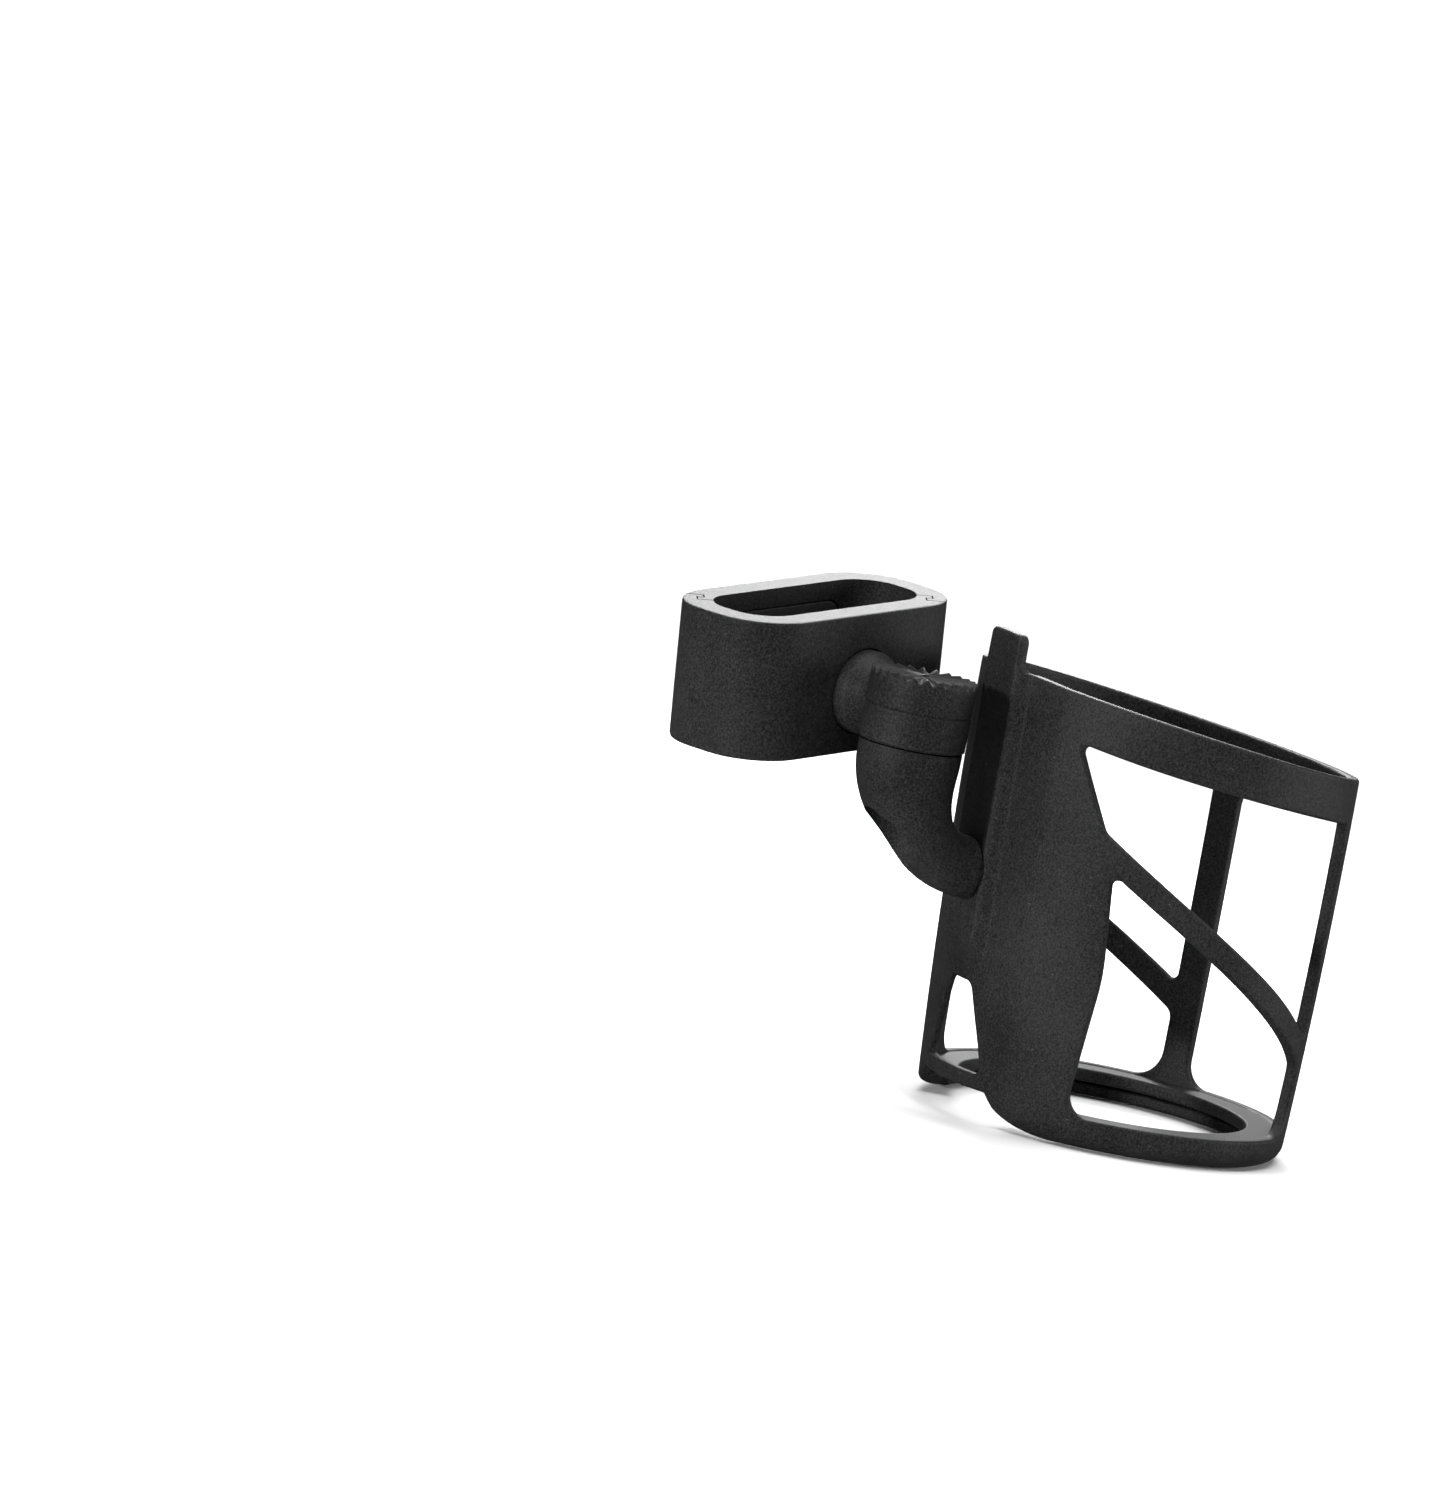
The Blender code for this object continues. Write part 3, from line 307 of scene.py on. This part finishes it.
# cage: a flat half of the wall is cut out, rounded, bent into shape and mirrored
cageLook = {
    "radiusBottom": 37.5 * mm, "radiusTop": 39.65 * mm, "bulge": 0.6 * mm, "taperHeight": 80 * mm,
    "lean": -2.3 / 80, "wall": 2.5 * mm, "baseEdge": 4 * mm, "footLip": 1.2 * mm,
    "rimBack": 90 * mm, "rimSlope": 0.142, "bandHeight": 9.4 * mm,
    "tabHalf": 5.7 * mm, "tabTop": 97.6 * mm, "tabCorner": 1.6 * mm, "tabShoulder": 1.8 * mm,
    "tabFlare": 0.1 * mm, "shoulderTurn": 8.6, "tabProud": 1.6 * mm, "tabBlend": 5 * mm,
    "railProud": 1.2 * mm, "railFoot": 30 * mm, "railRise": 6 * mm, "railSide": 2.6 * mm,
    "railEdge": 0.5 * mm, "railTop": 12 * mm,
    "facetStart": 12.0, "facetEnd": 26.0, "facetDeep": 0.9 * mm, "facetFoot": (6 * mm, 16 * mm),
    "panelTop": 33.5, "panelMiddle": 46.3, "elbow": 63.7 * mm,
    "lowerTop": 50.6, "lowerWaist": 52.9, "lowerFoot": 48.2, "waistLevel": 35 * mm,
    "spineStart": 138.0, "spineEnd": 147.5, "strutSlope": 0.606, "strutHeight": 5.9 * mm,
    "sill": 6.3 * mm, "cornerRound": 2.6 * mm, "pointRound": 1.3 * mm, "frontRound": 5 * mm,
    "spineFoot": 6 * mm, "waistRound": 45 * mm, "panelFoot": 4.5 * mm,
    "barLow": 6.1 * mm, "barHigh": 9.2 * mm, "backTop": 26.7 * mm, "backWide": 17.3, "backNarrow": 6.3,
    "notchLength": 18 * mm, "notchRise": 11 * mm, "notchRound": 0.8 * mm, "notchSteps": 14,
    "edgeRound": 0.65 * mm, "edgeSteps": 3, "edgeTurn": 60, "flatTurn": 0.01,
    "rimStep": 3, "rimEnd": 12, "slice": 2.0, "row": 5 * mm, "rows": 18, "railCuts": 8, "baseCuts": 8,
    "rimCut": 3 * mm, "rimCuts": 5, "footCut": 1.2 * mm, "footCuts": 6,
    "ledgeInner": 29.5 * mm, "ledgeTop": 6 * mm, "ledgeThick": 2.7 * mm,
    "ledgeStart": 25.0, "ledgeSteps": 140,
    "bossLevel": 49.2 * mm, "bossReach": 42.75 * mm, "bossHalf": (5.6 * mm, 6.0 * mm), "bossRound": 5 * mm,
    "screwSpacing": 6.0 * mm, "screwHole": 1.55 * mm, "screwSpan": (30 * mm, 50 * mm), "screwSides": 32,
    "headHole": 2.55 * mm, "headSides": 28, "headSeat": 40.255 * mm,
}
flatRadius = (cageLook["radiusBottom"] + cageLook["radiusTop"]) / 2


def arcLength(degrees):
    return math.radians(degrees) * flatRadius


def wallRadius(height):
    share = height / cageLook["taperHeight"]
    taper = (cageLook["radiusTop"] - cageLook["radiusBottom"]) * share
    return cageLook["radiusBottom"] + taper + 4 * cageLook["bulge"] * share * (1 - share)


def rimLevel(degrees):
    drop = cageLook["rimSlope"] * cageLook["radiusTop"] * (1 - math.cos(math.radians(degrees)))
    return (cageLook["rimBack"] - drop) / (1 + cageLook["rimSlope"] * cageLook["lean"])


def strutLevel(degrees):
    return cageLook["elbow"] - cageLook["strutSlope"] * arcLength(degrees - cageLook["panelMiddle"])


def flatLevel(height):
    # distance along the wall, which turns in at the bottom
    edge = cageLook["baseEdge"]
    return height if height > edge else edge - edge * math.asin((edge - height) / edge)


def ease(value, low, high):
    share = min(1.0, max(0.0, (value - low) / (high - low)))
    return share * share * (3 - 2 * share)


def wallReach(along, angle, height, depth):
    # outside, the back carries a flat rail with a sunken facet beside it; below the tab the inside is round
    look = cageLook
    radius = wallRadius(height)
    tab = ease(height, look["rimBack"] - look["tabBlend"], look["rimBack"])
    outer = max(tab, 1 + depth / look["wall"])
    start, end = math.radians(look["facetStart"]), math.radians(look["facetEnd"])
    turn = min(max(angle, start), end)
    facet = radius * (math.cos((end - start) / 2) / math.cos(turn - (start + end) / 2) - 1)
    facet -= look["facetDeep"] * ease(height, *look["facetFoot"]) * (end - turn) / (end - start)
    low = ease(height, look["railFoot"], look["railFoot"] + look["railRise"])
    high = ease(height, look["rimBack"] - look["railTop"], look["rimBack"])
    proud = look["railProud"] + (look["tabProud"] - look["railProud"]) * high
    rail = (radius + proud) / math.cos(min(angle, start)) - radius
    side = low * (1 - ease(along, look["tabHalf"] - look["railEdge"], look["tabHalf"] + look["railSide"]))
    return radius + depth + outer * (facet + (rail - facet) * side)


def bendPoint(flat):
    look = cageLook
    angle = flat.x / flatRadius
    edge, depth = look["baseEdge"], flat.z
    quarter = edge * math.pi / 2
    if flat.y > edge:
        radius, height = wallReach(flat.x, angle, flat.y, depth), flat.y
    elif flat.y > edge - quarter:
        turn = (edge - flat.y) / edge
        radius = wallRadius(edge) - edge + (edge + depth) * math.cos(turn)
        height = edge - (edge + depth) * math.sin(turn)
    else:
        radius, height = wallRadius(edge) - edge - (edge - quarter - flat.y), -depth
    return Vector((look["lean"] * height - radius * math.cos(angle), -radius * math.sin(angle), height))


def cageOutlines():
    # (arc length, height) loops of one half: the outside, its two windows and the hole for a screw's head
    look = cageLook
    bottom = look["baseEdge"] - look["baseEdge"] * math.pi / 2 - look["footLip"]
    front = arcLength(180)
    spine = arcLength(look["spineEnd"])
    bandFront = rimLevel(look["spineEnd"]) - look["bandHeight"]
    wide, narrow = arcLength(look["backWide"]), arcLength(look["backNarrow"])
    notch = []
    for step in range(look["notchSteps"] + 1):
        height = look["barLow"] * step / look["notchSteps"]
        drop = 1 - height / look["notchRise"]
        reach = wide + look["notchLength"] * (1 - math.sqrt(1 - drop * drop))
        notch.append((reach, flatLevel(height), look["notchRound"] if step == look["notchSteps"] else 0))
    turns = range(180, look["rimEnd"] - 1, -look["rimStep"])
    rim = [(arcLength(angle), rimLevel(angle), 0) for angle in turns]
    shoulder = look["tabHalf"] + look["tabFlare"]
    outside = [(front, bottom, 0), (front, look["sill"], 0), (spine, look["sill"], look["frontRound"]),
               (spine, bandFront, look["frontRound"]), (front, bandFront, 0)]
    outside += rim
    outside += [(shoulder, rimLevel(look["shoulderTurn"]), look["tabShoulder"]),
                (look["tabHalf"], look["tabTop"], look["tabCorner"]), (0, look["tabTop"], 0),
                (0, look["backTop"], 0), (narrow, look["backTop"], look["cornerRound"]),
                (wide, look["barHigh"], look["pointRound"]), (0, look["barHigh"], 0), (0, look["barLow"], 0)]
    outside += notch[::-1]
    outside += [(notch[0][0] + look["footLip"], bottom, look["notchRound"])]
    top = arcLength(look["panelTop"]), rimLevel(look["panelTop"]) - look["bandHeight"]
    start = arcLength(look["spineStart"])
    upper = [(*top, look["pointRound"]), (arcLength(look["panelMiddle"]), look["elbow"], look["cornerRound"]),
             (start, strutLevel(look["spineStart"]), look["pointRound"]),
             (start, rimLevel(look["spineStart"]) - look["bandHeight"], look["pointRound"])]
    under = strutLevel(look["lowerTop"]) - look["strutHeight"]
    lower = [(arcLength(look["lowerTop"]), under, look["pointRound"]),
             (arcLength(look["lowerWaist"]), look["waistLevel"], look["waistRound"]),
             (arcLength(look["lowerFoot"]), look["sill"], look["panelFoot"]),
             (start, look["sill"], look["spineFoot"]),
             (start, strutLevel(look["spineStart"]) - look["strutHeight"], look["cornerRound"])]
    hole = []
    for step in range(look["headSides"]):
        turn = 2 * math.pi * step / look["headSides"]
        hole.append(Vector((look["screwSpacing"] / 2 + look["headHole"] * math.cos(turn),
                            look["bossLevel"] + look["headHole"] * math.sin(turn))))
    return [roundCorners(outside), roundCorners(upper), roundCorners(lower), hole]


def endFaces(bm):
    # faces in the two planes where the halves meet
    return [face for face in bm.faces if any(all(abs(vert.co.x - x) < hair for vert in face.verts)
                                             for x in (0, arcLength(180)))]


def cageWall():
    look = cageLook
    bm = bmesh.new()
    edges = []
    for loop in cageOutlines():
        verts = [bm.verts.new((point.x, point.y, 0)) for point in loop]
        edges += [bm.edges.new(pair) for pair in zip(verts, verts[1:] + verts[:1])]
    bmesh.ops.triangle_fill(bm, use_beauty=True, edges=edges, normal=(0, 0, 1))
    bmesh.ops.dissolve_limit(bm, angle_limit=look["flatTurn"], verts=[], edges=bm.edges)
    grown = bmesh.ops.extrude_face_region(bm, geom=bm.faces[:])
    inner = [item for item in grown["geom"] if isinstance(item, bmesh.types.BMVert)]
    bmesh.ops.translate(bm, verts=inner, vec=(0, 0, -look["wall"]))
    bmesh.ops.recalc_face_normals(bm, faces=bm.faces)
    bm.normal_update()
    ends = {edge for face in endFaces(bm) for edge in face.edges}
    sharp = math.radians(look["edgeTurn"])
    corners = [edge for edge in bm.edges if edge not in ends and edge.calc_face_angle() > sharp]
    bmesh.ops.bevel(bm, geom=corners, offset=look["edgeRound"], offset_type="OFFSET",
                    segments=look["edgeSteps"], profile=0.5, affect="EDGES", material=-1, clamp_overlap=False)
    # opened after the rounding, so that the halves join without gaps
    bmesh.ops.delete(bm, geom=endFaces(bm), context="FACES")
    bmesh.ops.triangulate(bm, faces=bm.faces)
    cuts = [(arcLength(look["slice"] * step), 0) for step in range(1, round(180 / look["slice"]))]
    slopeStart = look["tabHalf"] - look["railEdge"]
    slope = look["railSide"] + look["railEdge"]
    cuts += [(slopeStart + slope * step / look["railCuts"], 0) for step in range(look["railCuts"] + 1)]
    edge = look["baseEdge"]
    turn = math.pi / 2 / look["baseCuts"]
    cuts += [(0, edge - edge * turn * step) for step in range(look["baseCuts"] + 1)]
    cuts += [(0, edge + look["row"] * step) for step in range(1, look["rows"] + 1)]
    cuts += [(0, look["rimBack"] - look["rimCut"] * step) for step in range(look["rimCuts"])]
    cuts += [(0, look["railFoot"] + look["footCut"] * step) for step in range(look["footCuts"])]
    for x, y in cuts:
        slicePlane(bm, (x, y, 0), (1, 0, 0) if x else (0, 1, 0))
    bmesh.ops.remove_doubles(bm, verts=bm.verts, dist=weld)
    for vert in bm.verts:
        vert.co = bendPoint(vert.co)
    bmesh.ops.mirror(bm, geom=bm.verts[:] + bm.edges[:] + bm.faces[:], merge_dist=weld, axis="Y")
    return bm


def cageLedge(bm):
    # the inner seat above the base, open where the notch is
    look = cageLook
    low, high = look["ledgeTop"] - look["ledgeThick"], look["ledgeTop"]
    outer = wallRadius(high) - look["wall"] / 2
    corners = ((look["ledgeInner"], low), (look["ledgeInner"], high), (outer, high), (outer, low))
    part = bmesh.new()
    verts = [part.verts.new((-radius, 0, height)) for radius, height in corners]
    part.faces.new(verts)
    bmesh.ops.bevel(part, geom=verts[:2], offset=look["edgeRound"], segments=look["edgeSteps"],
                    profile=0.5, affect="VERTICES", material=-1)
    start = math.radians(look["ledgeStart"])
    bmesh.ops.rotate(part, verts=part.verts, cent=(0, 0, 0), matrix=Matrix.Rotation(start, 3, "Z"))
    bmesh.ops.spin(part, geom=part.verts[:] + part.edges[:] + part.faces[:], cent=(0, 0, 0), axis=(0, 0, 1),
                   angle=2 * math.pi - 2 * start, steps=look["ledgeSteps"])
    for vert in part.verts:
        vert.co.x += look["lean"] * vert.co.z
    return boolean(bm, part, "UNION")


def cageBoss(bm):
    # the pad between the wall and the arm, with the two screw holes
    look = cageLook
    tall, broad = look["bossHalf"]
    corners = [(tall, broad), (-tall, broad), (-tall, -broad), (tall, -broad)]
    outline = roundCorners([(*corner, look["bossRound"]) for corner in corners])
    part = bmesh.new()
    bottom = part.faces.new([part.verts.new((point.x, point.y, look["headSeat"])) for point in outline])
    grown = bmesh.ops.extrude_face_region(part, geom=[bottom])
    top = [item for item in grown["geom"] if isinstance(item, bmesh.types.BMVert)]
    bmesh.ops.translate(part, verts=top, vec=(0, 0, look["bossReach"] - look["headSeat"]))
    for side in (-1, 1):
        place = Matrix.Translation((0, side * look["screwSpacing"] / 2, 0))
        hole = rod(look["screwHole"], *look["screwSpan"], place, look["screwSides"])
        part = boolean(part, hole, "DIFFERENCE")
    part.transform(Matrix.Translation((0, 0, look["bossLevel"])) @ Matrix.Rotation(-math.pi / 2, 4, "Y"))
    return boolean(bm, part, "UNION")


cage = finishPiece("cageBody", cageBoss(cageLedge(cageWall())), blackPlastic, "arm", ["cage"], cagePlace)
evenShading(cage)


# arm: a straight drum, sliced, then drawn along the elbow
armLook = {
    "top": -7.5 * mm, "radius": 10.45 * mm, "straight": 2 * mm, "reach": 17.45 * mm, "endLevel": -30.3 * mm,
    "drop": 11 * mm, "run": 9 * mm, "endHalf": (6.6 * mm, 6.2 * mm), "endSquare": 2.6, "narrowing": 0.65,
    "pocketRadius": 6.6 * mm, "pocketSpan": (-60 * mm, -16.5 * mm),
    "boltHole": 3.3 * mm, "boltSpan": (-30 * mm, 0), "holeSides": 32,
    "trimTurn": math.radians(45), "trimDepth": 19.4 * mm,
    "insertHole": 2.65 * mm, "insertSpan": (-6 * mm, 5 * mm), "insertSpacing": 6.0 * mm,
    "edgeRound": 0.5 * mm, "edgeSteps": 3, "edgeTurn": 40, "segments": 72, "slices": 44,
}


def armPoint(unit):
    # from the drum's round section at the top to the squarer, narrower end
    look = armLook
    travel = unit.z
    start = Vector((0, look["top"] - look["straight"]))
    end = Vector((look["reach"], look["endLevel"]))
    bend = (start, start - Vector((0, look["drop"])), end - Vector((look["run"], 0)), end)
    if travel < 0:
        centre = start - Vector((0, travel * look["straight"]))
        tangent = Vector((0, -1))
        along = 0.0
    else:
        along = travel
        rest = 1 - along
        weights = (rest ** 3, 3 * along * rest ** 2, 3 * along ** 2 * rest, along ** 3)
        centre = sum((weight * point for weight, point in zip(weights, bend)), Vector((0, 0)))
        slopes = (3 * rest ** 2, 6 * along * rest, 3 * along ** 2)
        pulls = [slope * (after - before) for slope, before, after in zip(slopes, bend, bend[1:])]
        tangent = sum(pulls, Vector((0, 0))).normalized()
    late, early = ease(along, 0, 1), ease(along, 0, look["narrowing"])
    width = look["radius"] + (look["endHalf"][0] - look["radius"]) * late
    height = look["radius"] + (look["endHalf"][1] - look["radius"]) * early
    power = 2 / (2 + (look["endSquare"] - 2) * late)
    reach = min(1.0, math.hypot(unit.x, unit.y))
    turn = math.atan2(unit.y, unit.x)
    over = math.copysign(abs(math.cos(turn)) ** power, math.cos(turn)) * height * reach
    across = math.copysign(abs(math.sin(turn)) ** power, math.sin(turn)) * width * reach
    return Vector((centre.x + tangent.y * over, across, centre.y - tangent.x * over))


def armShape():
    look = armLook
    bm = rod(1, -1, 1, None, look["segments"])
    for step in range(1, look["slices"]):
        slicePlane(bm, (0, 0, step / look["slices"]), (0, 0, 1))
    slicePlane(bm, (0, 0, 0), (0, 0, 1))
    for vert in bm.verts:
        vert.co = armPoint(vert.co)
    # the pocket's mouth is cut flat
    under = -Vector((math.sin(look["trimTurn"]), 0, math.cos(look["trimTurn"])))
    slicePlane(bm, under * look["trimDepth"], under, trim=True)
    bmesh.ops.holes_fill(bm, edges=[edge for edge in bm.edges if edge.is_boundary])
    bm = boolean(bm, rod(look["pocketRadius"], *look["pocketSpan"]), "DIFFERENCE")
    bm = boolean(bm, rod(look["boltHole"], *look["boltSpan"], None, look["holeSides"]), "DIFFERENCE")
    lying = Matrix.Rotation(math.pi / 2, 4, "Y")
    for side in (-1, 1):
        place = Matrix.Translation((look["reach"], side * look["insertSpacing"] / 2, look["endLevel"]))
        hole = rod(look["insertHole"], *look["insertSpan"], place @ lying, look["holeSides"])
        bm = boolean(bm, hole, "DIFFERENCE")
    return bm


def roundEdges(piece, width, segments, angle):
    bevel = piece.modifiers.new("roundEdges", "BEVEL")
    bevel.width = width
    bevel.segments = segments
    bevel.limit_method = "ANGLE"
    bevel.angle_limit = math.radians(angle)
    bevel.use_clamp_overlap = True
    bevel.miter_outer = "MITER_ARC"


arm = finishPiece("armBody", armShape(), blackPlastic, "arm", ["arm"], armPlace)
roundEdges(arm, armLook["edgeRound"], armLook["edgeSteps"], armLook["edgeTurn"])
evenShading(arm)


# knuckle: a barrel with a scalloped top and a flared stub
knuckleLook = {
    "radius": 10.75 * mm, "half": 7.2 * mm, "edge": 0.35 * mm, "edgeInset": 0.3, "sides": 192,
    "teeth": 24, "toothHeight": 1.15 * mm, "toothZone": 1.5, "topRings": 12,
    "seamRise": -0.2 * mm, "seamHalf": 0.25 * mm,
    "stubEnd": 16.55 * mm, "stubRadius": 8.5 * mm, "stubFlare": 13.9 * mm, "stubEdge": 0.4 * mm,
    "neckRadius": 6.9 * mm, "neckStart": 0.92, "neckSteps": 8, "stubSides": 96, "smoothTurn": 40,
}


def knuckleShape():
    look = knuckleLook
    radius, half, edge = look["radius"], look["half"], look["edge"]
    seam, inset, rings = look["seamHalf"], edge * look["edgeInset"], look["topRings"]
    profile = [(0, -half), (radius - edge, -half), (radius, -half + edge), (radius, -half + 2 * edge),
               (radius, -2 * seam), (radius, -seam), (radius + look["seamRise"], 0), (radius, seam),
               (radius, 2 * seam), (radius, half - 2 * look["toothHeight"]), (radius, half - edge),
               (radius - inset, half - inset)]
    profile += [(radius - edge - (radius - edge) * step / rings, half) for step in range(rings + 1)]
    bm = turnedShape(profile, look["sides"])
    for vert in bm.verts:
        if vert.co.z > half - look["toothZone"] * edge:
            turn = math.atan2(vert.co.y, vert.co.x)
            share = min(1, vert.co.xy.length / radius)
            wave = 0.5 - 0.5 * math.cos(look["teeth"] * turn)
            vert.co.z -= look["toothHeight"] * (0.5 + share * (wave - 0.5))
    stub = [(0, look["stubEnd"]), (look["stubRadius"] - look["stubEdge"], look["stubEnd"]),
            (look["stubRadius"], look["stubEnd"] - look["stubEdge"]), (look["stubRadius"], look["stubFlare"])]
    narrowing = look["neckRadius"] - look["stubRadius"]
    run = radius * look["neckStart"] - look["stubFlare"]
    for step in range(1, look["neckSteps"] + 1):
        share = step / look["neckSteps"]
        stub.append((look["stubRadius"] + narrowing * ease(share, 0, 1), look["stubFlare"] + run * share))
    stub += [(look["neckRadius"], 0), (0, 0)]
    stubMesh = turnedShape(stub, look["stubSides"])
    stubMesh.transform(Matrix.Rotation(-math.pi / 2, 4, "X"))
    return boolean(bm, stubMesh, "UNION")


finishPiece("knuckleBody", knuckleShape(), blackPlastic, "knuckle", ["knuckle"], pivotPlace,
            knuckleLook["smoothTurn"])


# collar halves and the small hardware: the solids themselves, merged, with their edges rounded
solidLook = {
    "collarEdge": 0.45 * mm, "collarSteps": 3, "padEdge": 0.3 * mm, "metalEdge": 0.15 * mm, "edgeSteps": 2,
    "edgeTurn": 35, "flatTurn": 0.5,
}


def softened(node, material, body, width, segments=solidLook["edgeSteps"]):
    bm = bmesh.new()
    bm.from_mesh(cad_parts[node].data)
    bmesh.ops.remove_doubles(bm, verts=bm.verts, dist=2 * weld)
    flat = math.radians(solidLook["flatTurn"])
    bmesh.ops.dissolve_limit(bm, angle_limit=flat, verts=bm.verts, edges=bm.edges)
    piece = finishPiece(f"{node}Finished", bm, material, body, [node])
    roundEdges(piece, width, segments, solidLook["edgeTurn"])
    evenShading(piece)


for half in ("collar_front", "collar_back"):
    softened(half, blackPlastic, "collar", solidLook["collarEdge"], solidLook["collarSteps"])
for pad in ("grip_pad", "pressure_pad"):
    softened(pad, blackRubber, "collar", solidLook["padEdge"])
print("collar ready")

hardware = {
    "clamp_screw_left": (zincSteel, "collar"), "clamp_screw_right": (zincSteel, "collar"),
    "clamp_insert_left": (turnedBrass, "collar"), "clamp_insert_right": (turnedBrass, "collar"),
    "swivel_screw": (zincSteel, "knuckle"), "swivel_washer": (zincSteel, "knuckle"),
    "pivot_bolt": (darkSteel, "knuckle"), "pivot_washer": (darkSteel, "arm"),
    "pivot_spring": (darkSteel, "arm"),
    "cage_screw_left": (zincSteel, "arm"), "cage_screw_right": (zincSteel, "arm"),
}
for node, (material, body) in hardware.items():
    softened(node, material, body, solidLook["metalEdge"])
# what never shows keeps its solid and takes a material
hidden = {"swivel_friction_ring": blackRubber, "swivel_insert": turnedBrass, "pivot_insert": turnedBrass,
          "cage_insert_left": turnedBrass, "cage_insert_right": turnedBrass}
for node, material in hidden.items():
    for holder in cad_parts[node].material_slots:
        holder.material = material
print("hardware ready")


# floor, light and camera
floorLook = {
    "half": 9.0, "below": 0.2 * mm, "mottle": 3.0, "roughness": 0.9,
    "stops": ((0.0, (0.86, 0.86, 0.86)), (1.0, (0.9, 0.9, 0.9))),
}


def layFloor():
    look = floorLook
    bm = bmesh.new()
    bmesh.ops.create_grid(bm, x_segments=1, y_segments=1, size=look["half"])
    bm.transform(Matrix.Translation((0, 0, layout["cageDrop"] - look["below"])))
    mesh = bpy.data.meshes.new("floor")
    bm.to_mesh(mesh)
    bm.free()
    material, shader, here = startMaterial("paleFloor")
    mottle = here.node("ShaderNodeTexNoise", {}, {"Vector": here, "Scale": look["mottle"]})
    colour = here.node("ShaderNodeValToRGB", {"stops": look["stops"]}, {"Fac": mottle})
    feed(shader, colour=colour, roughness=look["roughness"])
    mesh.materials.append(material)
    floor = bpy.data.objects.new("floor", mesh)
    floor.visible_glossy = False  # black plastic would mirror a bright floor at flat angles
    scene.collection.objects.link(floor)


lightTarget = Vector((30 * mm, -40 * mm, -30 * mm))
skyLook = {"strength": 0.12, "topPower": 3.5, "topSpread": 60}
lampLook = {
    "keyLight": {"azimuth": 177, "elevation": 9, "distance": 2.2, "size": 0.2, "power": 33.0},
    "rimLight": {"azimuth": 48, "elevation": 27, "distance": 0.5, "size": 0.27, "power": 2.4},
    "fillLight": {"azimuth": 314, "elevation": 11, "distance": 1.6, "size": 0.9, "power": 15.0},
}


def hangLight(name):
    look = lampLook[name]
    turn, lift = math.radians(look["azimuth"]), math.radians(look["elevation"])
    away = Vector((math.cos(turn) * math.cos(lift), math.sin(turn) * math.cos(lift), math.sin(lift)))
    place = lightTarget + look["distance"] * away
    lamp = bpy.data.lights.new(name, "AREA")
    lamp.shape = "DISK"
    lamp.size = look["size"]
    lamp.energy = look["power"]
    item = bpy.data.objects.new(name, lamp)
    aim = (lightTarget - place).to_track_quat("-Z", "Y").to_matrix().to_4x4()
    item.matrix_world = Matrix.Translation(place) @ aim
    item.visible_camera = False
    scene.collection.objects.link(item)


def lightSky():
    world = bpy.data.worlds.new("studioSky")
    world.use_nodes = True
    backdrop = world.node_tree.nodes["Background"]
    backdrop.inputs["Color"].default_value = (1, 1, 1, 1)
    backdrop.inputs["Strength"].default_value = skyLook["strength"]
    scene.world = world
    lamp = bpy.data.lights.new("topLight", "SUN")  # wide and overhead, so that the whole floor is even
    lamp.energy = skyLook["topPower"]
    lamp.angle = math.radians(skyLook["topSpread"])
    scene.collection.objects.link(bpy.data.objects.new("topLight", lamp))


photoView = {"turn": 28.5, "lift": 7.49, "roll": 11.33, "right": 77.19 * mm, "up": -75.81 * mm,
             "distance": 2.0, "focal": 9860.0, "imageWidth": 1434.0, "sensor": 36, "farthest": 100}


def placeCamera():
    # focal is in pixels of the photograph; right, up and distance give the cage's foot as the camera sees it
    view = photoView
    turn, lift, roll = (math.radians(view[key]) for key in ("turn", "lift", "roll"))
    side = Vector((math.cos(turn), -math.sin(turn), 0))
    ahead = Vector((math.sin(turn), math.cos(turn), 0))
    upright = Vector((0, 0, math.cos(lift))) + ahead * math.sin(lift)
    look = ahead * math.cos(lift) - Vector((0, 0, math.sin(lift)))
    right = side * math.cos(roll) + upright * math.sin(roll)
    up = upright * math.cos(roll) - side * math.sin(roll)
    spot = -(right * view["right"] + up * view["up"] + look * view["distance"])
    axes = Matrix((right, up, -look)).transposed().to_4x4()
    camera = bpy.data.cameras.new("camera")
    camera.sensor_fit = "HORIZONTAL"
    camera.sensor_width = view["sensor"]
    camera.lens = view["sensor"] * view["focal"] / view["imageWidth"]
    camera.clip_end = view["farthest"]
    item = bpy.data.objects.new("camera", camera)
    item.matrix_world = cagePlace @ Matrix.Translation(spot) @ axes
    scene.collection.objects.link(item)
    scene.camera = item


placeCamera()
layFloor()
lightSky()
scene.view_settings.view_transform = "Standard"
for lampName in lampLook:
    hangLight(lampName)
print("stage ready")
